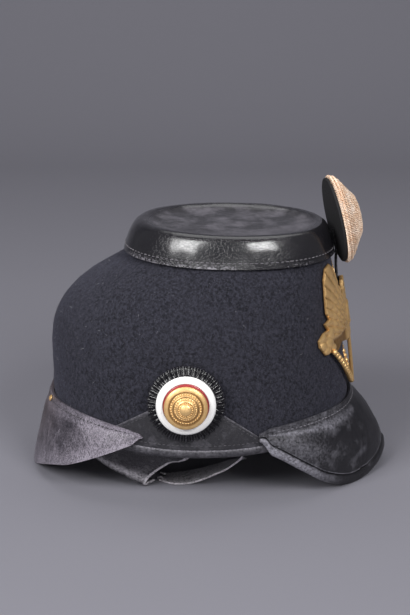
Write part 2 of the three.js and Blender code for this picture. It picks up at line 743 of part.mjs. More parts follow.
const FELT_CLOTH = () => material(0x25252d, 0.95);
const TOP_LEATHER = () => material(0x141418, 0.22);
const BLACK_LEATHER = () => material(0x1a1a1f, 0.45);
const WORN_LEATHER = () => material(0x4a4548, 0.55);
const ENAMEL_BLACK = () => material(0x0c0c0f, 0.25);
const ENAMEL_WHITE = () => material(0xf2f2ee, 0.4);
const ENAMEL_RED = () => material(0xb01822, 0.4);
const GILT = () => material(0xd9ac52, 0.35, 0.9);
const BULLION = () => material(0xd8b08c, 0.45, 0.6);
const STEEL = () => material(0x4a4a4e, 0.4, 0.8);

function piece(name, geometry, finish) {
  geometry.computeVertexNormals();
  const mesh = new THREE.Mesh(geometry, finish());
  mesh.name = name;
  return mesh;
}

const shako = new THREE.Group();
shako.add(
  piece("felt_body", feltBody(), FELT_CLOTH),
  piece("leather_top", leatherTop(), TOP_LEATHER),
  piece("rim_binding", rimBinding(), BLACK_LEATHER),
  piece("front_peak", frontPeak(), BLACK_LEATHER),
  piece("peak_border", peakBorder(), BLACK_LEATHER),
  piece("neck_guard", neckGuard(), WORN_LEATHER),
  piece("gusset_left", gusset(1), BLACK_LEATHER),
  piece("gusset_right", gusset(-1), BLACK_LEATHER),
  cockade(1, "left"),
  cockade(-1, "right"),
  piece("front_plate", frontPlate(), GILT),
  fieldBadge(),
  piece("badge_prong", badgeProng(), STEEL),
  guardStud(),
  piece("sweatband_flap", sweatbandFlap(), BLACK_LEATHER),
  piece("sweatband_strip", sweatbandStrip(), BLACK_LEATHER),
);

// The origin is on the ground, below the middle of the hat's box.
const box = new THREE.Box3().setFromObject(shako, true);
shako.position.set(-(box.min.x + box.max.x) / 2, -(box.min.y + box.max.y) / 2, -box.min.z);

export default shako;
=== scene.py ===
"""Builds the looks of a rifleman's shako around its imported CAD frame."""

import math

import bmesh
import bpy
import numpy as np
from mathutils import Matrix, Vector, noise


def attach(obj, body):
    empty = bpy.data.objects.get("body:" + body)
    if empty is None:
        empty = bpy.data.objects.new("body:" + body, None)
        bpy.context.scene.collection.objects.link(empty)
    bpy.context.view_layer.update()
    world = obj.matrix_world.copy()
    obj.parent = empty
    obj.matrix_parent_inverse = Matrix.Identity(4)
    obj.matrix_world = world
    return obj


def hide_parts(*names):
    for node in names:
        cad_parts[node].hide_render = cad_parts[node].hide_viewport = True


bl_info = {
    "name": "Felt shako",
    "version": (1, 0, 0),
    "blender": (4, 5, 0),
    "location": "3D View > Sidebar > Shako",
    "description": "Builds a felt shako with its leather, cockades, plate and badge",
    "category": "Add Mesh",
}

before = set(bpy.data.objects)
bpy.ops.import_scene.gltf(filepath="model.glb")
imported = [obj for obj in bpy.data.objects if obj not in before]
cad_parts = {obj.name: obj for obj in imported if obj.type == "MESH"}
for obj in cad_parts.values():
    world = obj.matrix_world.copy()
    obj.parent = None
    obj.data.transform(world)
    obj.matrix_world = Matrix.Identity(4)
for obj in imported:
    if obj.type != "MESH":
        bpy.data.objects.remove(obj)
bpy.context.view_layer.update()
MM = 0.001
# How far the tables' own origin lies from the frame's, which is below the middle of the hat's box.
SHIFT = np.array([-0.4805, 0.0, 0.0])

FELT, LEATHER, THIN_LEATHER, GAP = 2.6, 1.8, 1.2, 0.3
RIM_SIDE, RIM_END, BINDING_HEIGHT = 34.0, 43.0, 5.8
PEAK_BORDER, EDGE_INSET = 8.0, 1.0
COCKADE_X, COCKADE_Z, COCKADE_LEAN = -14.5, 72.0, 4.5
BADGE_X, BADGE_Z, BADGE_HIGH, BADGE_WIDE, BADGE_LEAN, BADGE_TWIST = 84.9, 174.0, 30.5, 25.0, 12.3, 9.5


# ---- Tables ----------------------------------------------------------------------------------------------

def table(columns, *rows):
    """A dictionary with one array for each named column."""
    return dict(zip(columns.split(), np.array(rows, float).T))


BODY = table(
    "z rear front half",
    (28, -108.6, 97.9, 89.3), (50, -109.6, 97.6, 88.2), (62, -110.6, 96.8, 87.2), (78, -111.2, 95.2, 85.9),
    (95, -111, 93.1, 83.4), (108, -108.6, 91.2, 80.2), (120, -102.3, 89.2, 76.4), (130, -93.4, 87.6, 72.6),
    (138, -82.9, 86.3, 68.8), (145, -71.4, 85.1, 64.4), (151, -61.8, 84.2, 59.2), (154.6, -57.1, 83.5, 55.8),
    (161, -55, 82.2, 54.2), (168, -52, 80, 51.4),
)
TOP_WALL = table(
    "step inset rise sunk",
    (0, 0, 0, 0), (1, 0.15, 0.32, 0), (2, 0.34, 0.64, 0), (3, 0.58, 0.88, 0), (4, 0.8, 0.975, 0),
    (5, 1, 1, 0), (6, 1.06, 1, 0.5), (7, 1.13, 1, 2), (8, 1.25, 1, 3.3), (9, 1.6, 1, 3.9), (10, 2, 1, 4),
)
TOP_HEM = {"rear": -59.4, "front": 86.2, "half": 58.2, "rear_z": 155.8, "front_z": 153.4}
TOP_CREST = {"rear": -45.6, "front": 76.8, "half": 47.6, "rear_z": 176.2, "front_z": 174.2}
PEAK = table(
    "t wall x y z top crease",
    (0, 0, 125.3, 0, 9, 54.6, 50.6), (0.086, 6, 123.4, 12, 7.4, 54.7, 50.6),
    (0.176, 12, 118.4, 24, 3.2, 54.8, 50.5), (0.281, 19, 109.8, 37, -0.5, 54.9, 50.4),
    (0.426, 29, 95.8, 52, -1.2, 54.9, 50.1), (0.598, 41, 79, 67, 6.2, 54.8, 49.7),
    (0.72, 50, 65.6, 75.4, 16, 54.4, 49.2), (0.854, 60, 50, 82, 27.6, 53.4, 49),
    (1, 70, 33, 87, 38.4, 51.6, 48.4),
)
GUARD = table(
    "t wall x y z top crease",
    (0, 0, -126.4, 0, -0.7, 55.4, 50.8), (0.114, 8, -124, 16, 1.2, 55.6, 50.8),
    (0.276, 19, -117.4, 36, 8.2, 55.9, 50.9), (0.459, 32, -105.4, 56, 16, 56.2, 51),
    (0.569, 39, -95, 67, 20.6, 55.9, 50.8), (0.816, 55, -68.6, 82.4, 34.4, 53.8, 49.8),
    (1, 69, -43, 87, 46.2, 50.4, 48.6),
)
GUSSET = table("angle z", (67, 43.4), (93.5, 79), (123, 50.8))
PLATE_HALF = table(
    "y z",
    (0, 134), (5, 132), (6.5, 126), (12, 121), (15, 129), (19, 141), (24.6, 149.6), (30.6, 147.6),
    (35.1, 141), (38.1, 129), (40.1, 118.5), (38.6, 114.5), (44, 112.4), (42.2, 108), (46.8, 107),
    (51.6, 103), (52, 98.4), (48.6, 92), (41.6, 92), (30.6, 80), (22, 69.6), (12, 61.6), (4, 57),
    (0, 56.4),
)
PLATE_OPENING = table(
    "y z", (2.6, 60.8), (11, 65.6), (20.4, 73.4), (29.6, 83), (35, 90), (24, 94), (12, 91), (2.6, 88),
)
BADGE_DOME = table(
    "depth share", (2.3, 0.98), (4.6, 1), (6.6, 0.94), (10.4, 0.76), (14.2, 0.57), (17.2, 0.42), (18, 0.28),
)
# The sweatband's loose rear end at four stations: points across it, from its upper edge to under its fold.
FLAP = [
    [(-9, -82, 39), (-15.7, -80, 29), (-27.2, -72, 23.3), (-39.8, -62, 10.4), (-44.5, -58, 1.4),
     (-38, -51, 1.6)],
    [(-30, -78.5, 40), (-35, -75.5, 31.5), (-45, -69, 25.5), (-54.5, -62, 15.5), (-58.5, -58, 8.6),
     (-52, -52, 8.6)],
    [(-52, -71, 41), (-56, -69, 34), (-64, -64.5, 29.5), (-72, -59.5, 22.5), (-75, -56, 18), (-68, -51, 18)],
    [(-70, -60, 42.5), (-73.5, -58, 37.5), (-79.5, -54.5, 34), (-85.5, -50.5, 29.5), (-87.5, -47.5, 26.5),
     (-82, -43, 26.5)],
]
# Its loose front strip: the near and far edge at each station, from its torn end to the rim.
STRIP = [
    [(-35.5, -48.5, 1.7), (-34.5, -38, 2)], [(-26, -54, 1.7), (-27, -36, 2)],
    [(-16, -54, 1.7), (-17, -35.5, 2.6)], [(-9, -56, 4), (-9.5, -37.5, 5)],
    [(-1, -60, 8.8), (-0.5, -41.5, 8.8)], [(9.4, -67, 16.8), (11, -48.5, 15.5)],
    [(16.3, -73, 23.8), (18.5, -55.5, 20)], [(21.4, -77.5, 31.6), (25, -62, 24)],
]


# ---- Shapes shared by the pieces -------------------------------------------------------------------------

def smooth(rows, key, name):
    """A smooth curve through one column of a table, as a function of its key column."""
    keys, values = rows[key], rows[name]
    last = len(keys) - 1
    ahead, behind = np.minimum(np.arange(last + 1) + 1, last), np.maximum(np.arange(last + 1) - 1, 0)
    slopes = (values[ahead] - values[behind]) / (keys[ahead] - keys[behind])

    def at(place):
        place = np.clip(place, keys[0], keys[-1])
        i = np.clip(np.searchsorted(keys, place) - 1, 0, last - 1)
        width = keys[i + 1] - keys[i]
        u = (place - keys[i]) / width
        rising = u * u * (3 - 2 * u)
        value = values[i] * (1 - rising) + values[i + 1] * rising
        return value + width * u * (1 - u) * (slopes[i] * (1 - u) - slopes[i + 1] * u)

    return at


def unit(vectors):
    return vectors / np.maximum(np.linalg.norm(vectors, axis=-1, keepdims=True), 1e-9)


def smoothstep(low, high, value):
    share = np.clip((value - low) / (high - low), 0, 1)
    return share * share * (3 - 2 * share)


def oval(rear, front, half, angle, z):
    """A point of a level oval that is a little fuller than an ellipse."""
    fullness = 2 / 2.12

    def power(value):
        return np.sign(value) * np.abs(value) ** fullness

    x = (rear + front) / 2 + (front - rear) / 2 * power(np.cos(angle))
    return np.stack(np.broadcast_arrays(x, half * power(np.sin(angle)), z), axis=-1)


BODY_REAR, BODY_FRONT, BODY_HALF = (smooth(BODY, "z", name) for name in ("rear", "front", "half"))


def body_section(angle, z):
    return oval(BODY_REAR(z), BODY_FRONT(z), BODY_HALF(z), angle, z)


def on_body(angle, z, out=0.0):
    """Points on the felt at an angle from the front and a height, moved outwards by out, in millimetres."""
    angle, z, out = np.broadcast_arrays(np.asarray(angle, float), np.asarray(z, float),
                                        np.asarray(out, float))
    turn, lift = 0.02, 0.5
    around = body_section(angle + turn, z) - body_section(angle - turn, z)
    up = body_section(angle, z + lift) - body_section(angle, z - lift)
    return body_section(angle, z) + unit(np.cross(around, up)) * out[..., None]


def rim_height(angle):
    return RIM_SIDE + (RIM_END - RIM_SIDE) * np.cos(angle) ** 2


def spline(points, steps):
    """A smooth curve through points given along the first axis, with steps between each two."""
    points = np.asarray(points, float)
    padded = np.concatenate([2 * points[:1] - points[1:2], points, 2 * points[-1:] - points[-2:-1]])
    pieces = []
    shares = np.linspace(0, 1, steps, endpoint=False).reshape((-1,) + (1,) * (points.ndim - 1))
    for a, b, c, d in zip(padded, padded[1:], padded[2:], padded[3:]):
        pieces.append(0.5 * (2 * b + (c - a) * shares + (2 * a - 5 * b + 4 * c - d) * shares ** 2
                             + (3 * b - a - 3 * c + d) * shares ** 3))
    return np.concatenate(pieces + [points[-1:]])


def ripple(points, scale, amount, seed=0.0):
    """Noise at points in millimetres: scale is the size of its waves, and amount its height."""
    flat = points.reshape(-1, 3) / scale + seed
    values = [noise.noise(Vector(p)) for p in flat]
    return (np.array(values) * amount).reshape(points.shape[:-1])


def grid_normals(grid, closed=False):
    """Normals of a grid of points, along its rows crossed with along its columns."""
    if closed:
        across = np.roll(grid, -1, 1) - np.roll(grid, 1, 1)
    else:
        across = np.gradient(grid, axis=1)
    return unit(np.cross(np.gradient(grid, axis=0), across))


# ---- Meshes ----------------------------------------------------------------------------------------------

def mesh_object(name, points, faces, attributes=None, sharp_angle=40):
    """An object at the origin from points in millimetres, with outward faces and smooth shading."""
    mesh = bpy.data.meshes.new(name)
    mesh.from_pydata((np.asarray(points).reshape(-1, 3) + SHIFT) * MM, [], [tuple(f) for f in faces])
    for key, values in (attributes or {}).items():
        layer = mesh.attributes.new(key, "FLOAT", "POINT")
        layer.data.foreach_set("value", np.asarray(values, np.float32).reshape(-1))
    work = bmesh.new()
    work.from_mesh(mesh)
    bmesh.ops.recalc_face_normals(work, faces=work.faces)
    work.to_mesh(mesh)
    work.free()
    mesh.shade_smooth()
    mesh.set_sharp_from_angle(angle=math.radians(sharp_angle))
    piece = bpy.data.objects.new(name, mesh)
    bpy.context.scene.collection.objects.link(piece)
    return piece


def skin_faces(rows, columns, wrap_rows, wrap_columns, first=0):
    faces = []
    for i in range(rows if wrap_rows else rows - 1):
        for j in range(columns if wrap_columns else columns - 1):
            a, b = i * columns, (i + 1) % rows * columns
            k = (j + 1) % columns
            faces.append((first + a + j, first + a + k, first + b + k, first + b + j))
    return faces


def loop_skin(name, grid, wrap_rows=False, attributes=None, sharp_angle=40):
    """A solid of closed rings: the last meets the first, or both ends are closed at their middle."""
    rows, columns = grid.shape[:2]
    points = grid.reshape(-1, 3)
    faces = skin_faces(rows, columns, wrap_rows, True)
    attributes = {key: np.asarray(value).reshape(-1) for key, value in (attributes or {}).items()}
    if not wrap_rows:
        for end in (0, rows - 1):
            faces += [(len(points), end * columns + j, end * columns + (j + 1) % columns)
                      for j in range(columns)]
            points = np.vstack([points, grid[end].mean(0)])
            attributes = {key: np.append(value, value[end * columns]) for key, value in attributes.items()}
    return mesh_object(name, points, faces, attributes, sharp_angle)


def sheet(name, upper, lower, attributes=None, sharp_angle=50):
    """A thin closed solid between two grids of points."""
    rows, columns = upper.shape[:2]
    count = rows * columns
    faces = skin_faces(rows, columns, False, False) + skin_faces(rows, columns, False, False, count)
    index = np.arange(count).reshape(rows, columns)
    edge = np.concatenate([index[:-1, 0], index[-1, :-1], index[:0:-1, -1], index[0, :0:-1]])
    faces += [(a, b, b + count, a + count) for a, b in zip(edge, np.roll(edge, -1))]
    both = {key: np.concatenate([np.ravel(value)] * 2) for key, value in (attributes or {}).items()}
    return mesh_object(name, np.concatenate([upper.reshape(-1, 3), lower.reshape(-1, 3)]), faces, both,
                       sharp_angle)


def finish_piece(piece, slot, finish, *nodes):
    """Gives a piece its material and its place in the frame, and hides the CAD nodes that it stands for."""
    if finish is not None:
        piece.data.materials.clear()
        piece.data.materials.append(finish)
    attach(piece, "root")
    if nodes:
        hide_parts(*nodes)
    return piece


def join(name, pieces):
    """Several objects as one mesh, with their materials kept."""
    with bpy.context.temp_override(active_object=pieces[0], selected_editable_objects=pieces,
                                   selected_objects=pieces):
        bpy.ops.object.join()
    pieces[0].name = name
    return pieces[0]


# ---- Materials -------------------------------------------------------------------------------------------

def tint(red, green, blue):
    """A linear colour from display values of 0 to 255."""
    return tuple(((c / 255 + 0.055) / 1.055) ** 2.4 if c > 10 else c / 255 / 12.92
                 for c in (red, green, blue))


class Finish:
    """A material made of nodes, with short ways to add the usual ones."""

    def __init__(self, name, colour, roughness, **settings):
        self.material = bpy.data.materials.new(name)
        self.material.use_nodes = True
        self.tree = self.material.node_tree
        self.shader = self.tree.nodes["Principled BSDF"]
        self.place = self.tree.nodes.new("ShaderNodeTexCoord").outputs["Object"]
        self.set("Base Color", colour)
        self.set("Roughness", roughness)
        for key, value in settings.items():
            self.set(key.replace("_", " ").title().replace("Ior", "IOR"), value)

    def set(self, name, value):
        socket = self.shader.inputs[name]
        if isinstance(value, bpy.types.NodeSocket):
            self.tree.links.new(value, socket)
        else:
            socket.default_value = (*value, 1) if isinstance(value, tuple) and len(value) == 3 else value

    def node(self, kind, inputs, output=0, **settings):
        """Adds a node, with inputs by name or number, and gives the output that is asked for."""
        made = self.tree.nodes.new(kind)
        for key, value in settings.items():
            setattr(made, key, value)
        for key, value in inputs.items():
            if isinstance(value, bpy.types.NodeSocket):
                self.tree.links.new(value, made.inputs[key])
            else:
                made.inputs[key].default_value = (*value, 1) if isinstance(value, tuple) and len(value) == 3 \
                    and made.inputs[key].type == "RGBA" else value
        return made.outputs[output]

    def stretched(self, stretch):
        return self.node("ShaderNodeMapping", {"Vector": self.place, "Scale": stretch})

    def noise(self, size, detail=3.0, roughness=0.55, stretch=(1, 1, 1), distortion=0.0):
        """Noise whose waves are about size millimetres, from 0 to 1."""
        return self.node("ShaderNodeTexNoise", {
            "Vector": self.stretched(stretch), "Scale": 1 / (size * MM), "Detail": detail,
            "Roughness": roughness, "Distortion": distortion})

    def cells(self, size, feature="F1", stretch=(1, 1, 1)):
        return self.node("ShaderNodeTexVoronoi",
                         {"Vector": self.stretched(stretch), "Scale": 1 / (size * MM)},
                         output="Distance", feature=feature)

    def span(self, value, low, high, to_low=0.0, to_high=1.0):
        """A value taken from one range to another, and held inside it."""
        return self.node("ShaderNodeMapRange", {
            "Value": value, "From Min": low, "From Max": high, "To Min": to_low, "To Max": to_high})

    def sum(self, a, b, operation="ADD"):
        return self.node("ShaderNodeMath", {0: a, 1: b}, operation=operation)

    def mix(self, share, a, b, blend="MIX"):
        return self.node("ShaderNodeMix", {0: share, 6: a, 7: b}, output=2, data_type="RGBA",
                         blend_type=blend)

    def layer(self, name):
        return self.node("ShaderNodeAttribute", {}, output="Fac", attribute_name=name)

    def bump(self, height, depth, before=None):
        """Bump of a height from 0 to 1, with its depth in millimetres."""
        inputs = {"Height": height, "Strength": 1.0, "Distance": depth * MM}
        if before is not None:
            inputs["Normal"] = before
        self.relief = self.node("ShaderNodeBump", inputs)
        self.set("Normal", self.relief)
        return self.relief


def felt_finish(settings):
    felt = Finish("Blue-black felt", settings.felt_colour[:], 0.96, sheen_weight=0.22, sheen_roughness=0.45,
                  specular_ior_level=0.2)
    felt.set("Sheen Tint", (*tint(150, 150, 175), 1))
    mottle = felt.noise(1.9, 4, 0.75, (1, 1, 0.8))
    fibres = felt.noise(0.7, 3, 0.8, (1, 1, 1.8))
    patches = felt.noise(30, 3, 0.6)
    dark = tuple(c * 0.3 for c in settings.felt_colour)
    pale = tuple(c * 2.0 for c in settings.felt_colour)
    colour = felt.mix(felt.span(mottle, 0.38, 0.62), dark, pale)
    colour = felt.mix(felt.span(fibres, 0.55, 0.72, 0, 0.6), colour, tint(86, 85, 95))
    colour = felt.mix(felt.span(patches, 0.4, 0.7, 0, 0.3), colour,
                      tuple(c * 1.9 for c in settings.felt_colour))
    felt.set("Base Color", colour)
    soft = felt.bump(mottle, 0.5)
    felt.bump(fibres, 0.35, soft)
    return felt.material


def lacquered_finish(settings):
    """Glossy black leather, with fine cracks, smudges on its sunken top and pale wear along its hem."""
    top = Finish("Lacquered leather", settings.leather_colour[:], 0.2, coat_weight=0.9, coat_roughness=0.2)
    worn = top.layer("wear")
    smudges = top.noise(14, 5, 0.65)
    scuffs = top.noise(1.3, 4, 0.7, (0.5, 1, 1))
    flat = top.layer("flat")
    wear = top.span(top.sum(worn, top.span(scuffs, 0.35, 0.75), "MULTIPLY"), 0.18, 0.7)
    colour = top.mix(wear, settings.leather_colour[:], tint(150, 146, 154))
    dust = top.sum(flat, top.span(smudges, 0.4, 0.66, 0.1, 1.0), "MULTIPLY")
    colour = top.mix(top.span(dust, 0, 1, 0, 0.6), colour, tint(122, 118, 126))
    top.set("Base Color", colour)
    top.set("Roughness", top.sum(top.span(smudges, 0.35, 0.75, 0.16, 0.3), top.sum(
        top.span(wear, 0, 1, 0, 0.4), top.span(flat, 0, 1, 0, 0.3)), "ADD"))
    cracks = top.span(top.cells(2.4, "DISTANCE_TO_EDGE", (1, 1, 1.8)), 0, 0.08)
    waves = top.bump(top.noise(9, 2), 0.2)
    top.bump(cracks, 0.05, waves)
    return top.material


def leather_finish(name, colour, pale, roughness, wear_amount=1.0):
    """Black leather with grain, scuffs and the paleness that its wear layer gives: real wear, and on the
    peak, its rolled border and the sweatband's fold, also painted highlight.
    """
    leather = Finish(name, colour, roughness, specular_ior_level=0.5)
    worn = leather.layer("wear")
    scuffs = leather.noise(1.6, 5, 0.75)
    broad = leather.noise(11, 4, 0.6)
    wear = leather.sum(worn, leather.span(scuffs, 0.3, 0.72), "MULTIPLY")
    wear = leather.span(leather.sum(wear, leather.span(broad, 0.5, 0.75, 0, 0.18 * wear_amount)), 0.06, 0.75)
    leather.set("Base Color", leather.mix(wear, colour, pale))
    leather.set("Roughness", leather.span(leather.sum(wear, scuffs), 0.2, 1.4, roughness, roughness + 0.35))
    grain = leather.span(leather.cells(0.9, "DISTANCE_TO_EDGE"), 0, 0.2)
    creased = leather.bump(leather.noise(5, 4, 0.6), 0.25)
    leather.bump(grain, 0.06, creased)
    return leather.material


def guard_finish():
    """Leather worn pale by handling, with streaks that run down it and a brown patch at its rear."""
    guard = Finish("Scuffed leather", tint(70, 66, 74), 0.5, specular_ior_level=0.45)
    worn = guard.layer("wear")
    streaks = guard.noise(3.2, 5, 0.7, (1.6, 1.6, 0.45))
    specks = guard.noise(0.8, 4, 0.8, (1, 1, 0.7))
    clouds = guard.noise(17, 4, 0.6)
    shade = guard.sum(guard.sum(guard.span(streaks, 0.32, 0.7), guard.span(specks, 0.35, 0.7), "MULTIPLY"),
                      guard.span(clouds, 0.35, 0.65), "MULTIPLY")
    shade = guard.sum(shade, guard.sum(worn, guard.span(specks, 0.36, 0.62, 0.1, 1), "MULTIPLY"))
    colour = guard.mix(guard.span(shade, 0.1, 0.8), tint(36, 33, 40), tint(146, 139, 150))
    brown = guard.sum(guard.layer("brown"), guard.span(streaks, 0.3, 0.7), "MULTIPLY")
    colour = guard.mix(guard.span(brown, 0, 1, 0, 0.55), colour, tint(88, 68, 62))
    guard.set("Base Color", colour)
    guard.set("Roughness", guard.span(shade, 0, 1, 0.36, 0.62))
    soft = guard.bump(streaks, 0.3)
    guard.bump(specks, 0.12, soft)
    return guard.material


def enamel_finish(name, colour, roughness, coat=0.3):
    enamel = Finish(name, colour, roughness, coat_weight=coat, coat_roughness=0.08)
    chips = enamel.noise(2.5, 4, 0.6)
    enamel.set("Base Color", enamel.mix(enamel.span(chips, 0.62, 0.8, 0, 0.25), colour,
                                        tuple(c * 0.6 for c in colour)))
    enamel.set("Roughness", enamel.span(chips, 0.3, 0.7, roughness, roughness + 0.15))
    enamel.bump(enamel.noise(4, 2), 0.05)
    return enamel.material


def gilt_finish(settings):
    """Satin gilding, brown in its hollows and brighter on what stands out."""
    gilt = Finish("Gilding", settings.gilt_colour[:], 0.42, metallic=0.7)
    hollow = gilt.layer("hollow")
    stains = gilt.noise(3.5, 5, 0.65)
    grit = gilt.noise(0.5, 3, 0.7)
    tarnish = gilt.sum(hollow, gilt.span(stains, 0.45, 0.75, 0, 0.35))
    gilt.set("Base Color", gilt.mix(gilt.span(tarnish, 0, 1, 0, 0.85), settings.gilt_colour[:],
                                    tint(112, 76, 34)))
    gilt.set("Roughness", gilt.span(gilt.sum(tarnish, grit), 0.3, 1.6, 0.34, 0.6))
    gilt.bump(grit, 0.05)
    return gilt.material


def bullion_finish(settings):
    """Twisted metal thread: a pale pink gold with bright and dull strands."""
    thread = Finish("Metal thread", settings.bullion_colour[:], 0.4, metallic=0.12)
    strands = thread.noise(0.8, 2, 0.7)
    clouds = thread.noise(7, 3)
    colour = thread.mix(thread.span(strands, 0.35, 0.7), tint(196, 150, 116), settings.bullion_colour[:])
    colour = thread.mix(thread.span(clouds, 0.45, 0.7, 0, 0.5), colour, tint(248, 240, 230))
    thread.set("Base Color", colour)
    thread.set("Roughness", thread.span(strands, 0.3, 0.7, 0.25, 0.5))
    thread.bump(strands, 0.15)
    return thread.material


def thread_finish(name, colour):
    thread = Finish(name, colour, 0.85, sheen_weight=0.2)
    twist = thread.noise(0.35, 2, 0.6)
    thread.set("Base Color", thread.mix(thread.span(twist, 0.3, 0.7), tuple(c * 0.45 for c in colour),
                                        colour))
    thread.bump(twist, 0.1)
    return thread.material


def steel_finish():
    steel = Finish("Dull steel", tint(96, 96, 100), 0.42, metallic=0.9)
    spots = steel.noise(1.2, 4, 0.6)
    steel.set("Base Color", steel.mix(steel.span(spots, 0.45, 0.7), tint(60, 58, 60), tint(120, 120, 124)))
    steel.bump(spots, 0.04)
    return steel.material


def backdrop_finish(settings):
    paper = Finish("Pale paper", settings.floor_colour[:], 0.85, specular_ior_level=0.2)
    paper.bump(paper.noise(6, 3), 0.05)
    return paper.material


# ---- Geometry Nodes --------------------------------------------------------------------------------------

class Maker:
    """A Geometry Nodes tree with named inputs, run on an object and turned into a plain mesh."""

    def __init__(self, name, **inputs):
        self.tree = bpy.data.node_groups.new(name, "GeometryNodeTree")
        self.sockets = {}
        self.tree.interface.new_socket("Geometry", in_out="INPUT", socket_type="NodeSocketGeometry")
        for key, (kind, value) in inputs.items():
            socket = self.tree.interface.new_socket(key.replace("_", " ").capitalize(), in_out="INPUT",
                                                    socket_type="NodeSocket" + kind)
            if value is not None:
                socket.default_value = value
            self.sockets[key] = socket.identifier
        self.tree.interface.new_socket("Geometry", in_out="OUTPUT", socket_type="NodeSocketGeometry")
        self.start = self.tree.nodes.new("NodeGroupInput")
        self.names = {key: key.replace("_", " ").capitalize() for key in inputs}

    def given(self, key):
        return self.start.outputs[self.names[key]]

    def node(self, kind, inputs, output=0, **settings):
        made = self.tree.nodes.new(kind)
        for key, value in settings.items():
            setattr(made, key, value)
        for key, value in inputs.items():
            if isinstance(value, bpy.types.NodeSocket):
                self.tree.links.new(value, made.inputs[key])
            else:
                made.inputs[key].default_value = value
        return made.outputs[output]

    def end(self, geometry):
        """Realizes the instances, sets their material and closes the tree."""
        real = self.node("GeometryNodeRealizeInstances", {0: geometry})
        painted = self.node("GeometryNodeSetMaterial", {0: real, "Material": self.given("material")})
        self.tree.links.new(painted, self.tree.nodes.new("NodeGroupOutput").inputs[0])
        return self

    def run(self, name, source, **values):
        """The tree's result on a source object, as a new plain mesh object. The source is left as it is."""
        modifier = source.modifiers.new("Maker", "NODES")
        modifier.node_group = self.tree
        for key, value in values.items():
            modifier[self.sockets[key]] = value
        shown = source.evaluated_get(bpy.context.evaluated_depsgraph_get())
        mesh = bpy.data.meshes.new_from_object(shown)
        mesh.name = name
        mesh.shade_smooth()
        source.modifiers.remove(modifier)
        made = bpy.data.objects.new(name, mesh)
        bpy.context.scene.collection.objects.link(made)
        return made


def stitch_maker():
    """Short rounded stitches laid end to end along a line, each a little different."""
    maker = Maker("Stitches", spacing=("Float", 0.003), length=("Float", 0.0022), thickness=("Float", 0.0006),
                  seed=("Int", 1), material=("Material", None))
    curve = maker.node("GeometryNodeMeshToCurve", {0: maker.start.outputs[0]})
    resampled = maker.node("GeometryNodeResampleCurve", {"Curve": curve, "Length": maker.given("spacing")},
                           mode="LENGTH")
    bead = maker.node("GeometryNodeMeshUVSphere", {"Segments": 6, "Rings": 6, "Radius": 0.5})
    size = maker.node("ShaderNodeCombineXYZ", {0: maker.given("length"), 1: maker.given("thickness"),
                                               2: maker.given("thickness")})
    stitch = maker.node("GeometryNodeTransform", {"Geometry": bead, "Scale": size})
    along = maker.node("GeometryNodeInputTangent", {})
    turn = maker.node("FunctionNodeAlignRotationToVector", {"Vector": along}, axis="X")
    vary = maker.node("FunctionNodeRandomValue", {2: 0.75, 3: 1.1, "Seed": maker.given("seed")}, output=1,
                      data_type="FLOAT")
    placed = maker.node("GeometryNodeInstanceOnPoints", {
        "Points": resampled, "Instance": stitch, "Rotation": turn, "Scale": vary})
    return maker.end(placed)


def fuzz_maker():
    """Short tapered fibres that stand out of a surface at random."""
    maker = Maker("Fuzz", density=("Float", 250000.0), length=("Float", 0.0011), thickness=("Float", 0.00009),
                  lean=("Float", 1.0), seed=("Int", 3), material=("Material", None))
    points = maker.tree.nodes.new("GeometryNodeDistributePointsOnFaces")
    maker.tree.links.new(maker.start.outputs[0], points.inputs["Mesh"])
    maker.tree.links.new(maker.given("density"), points.inputs["Density"])
    maker.tree.links.new(maker.given("seed"), points.inputs["Seed"])
    cone = maker.node("GeometryNodeMeshCone", {"Vertices": 3, "Side Segments": 1,
                                               "Radius Top": 0.0, "Radius Bottom": maker.given("thickness"),
                                               "Depth": maker.given("length")}, fill_type="NONE")
    lean = maker.node("FunctionNodeRandomValue", {0: (-1, -1, -1), 1: (1, 1, 1), "Seed": maker.given("seed")},
                      data_type="FLOAT_VECTOR")
    leaning = maker.node("ShaderNodeVectorMath", {0: lean, "Scale": maker.given("lean")}, operation="SCALE")
    direction = maker.node("ShaderNodeVectorMath", {0: points.outputs["Normal"], 1: leaning}, operation="ADD")
    turn = maker.node("FunctionNodeAlignRotationToVector", {"Vector": direction}, axis="Z")
    vary = maker.node("FunctionNodeRandomValue", {2: 0.5, 3: 1.4, "Seed": maker.given("seed")}, output=1,
                      data_type="FLOAT")
    placed = maker.node("GeometryNodeInstanceOnPoints", {
        "Points": points.outputs["Points"], "Instance": cone, "Rotation": turn, "Scale": vary})
    return maker.end(placed)


def bead_maker():
    """Round beads on a line, a fixed distance apart."""
    maker = Maker("Beads", spacing=("Float", 0.0012), radius=("Float", 0.0005), material=("Material", None))
    curve = maker.node("GeometryNodeMeshToCurve", {0: maker.start.outputs[0]})
    resampled = maker.node("GeometryNodeResampleCurve", {"Curve": curve, "Length": maker.given("spacing")},
                           mode="LENGTH")
    bead = maker.node("GeometryNodeMeshIcoSphere", {"Radius": maker.given("radius"), "Subdivisions": 2})
    placed = maker.node("GeometryNodeInstanceOnPoints", {"Points": resampled, "Instance": bead})
    return maker.end(placed)


def line_object(name, points, closed=False):
    """A plain line through points in millimetres, for a Geometry Nodes tree to follow."""
    points = (np.asarray(points, float) + SHIFT) * MM
    edges = [(i, i + 1) for i in range(len(points) - 1)] + ([(len(points) - 1, 0)] if closed else [])
    mesh = bpy.data.meshes.new(name)
    mesh.from_pydata(points, edges, [])
    line = bpy.data.objects.new(name, mesh)
    bpy.context.scene.collection.objects.link(line)
    return line


def along_lines(maker, name, lines, closed=False, **values):
    """One mesh of what a tree makes along several lines."""
    made = []
    for number, points in enumerate(lines):
        line = line_object(f"{name}_line", points, closed)
        made.append(maker.run(f"{name}_{number}", line, **values))
        bpy.data.objects.remove(line)
    return join(name, made)


# ---- Felt body -------------------------------------------------------------------------------------------

AROUND = np.linspace(0, 2 * np.pi, 300, endpoint=False)


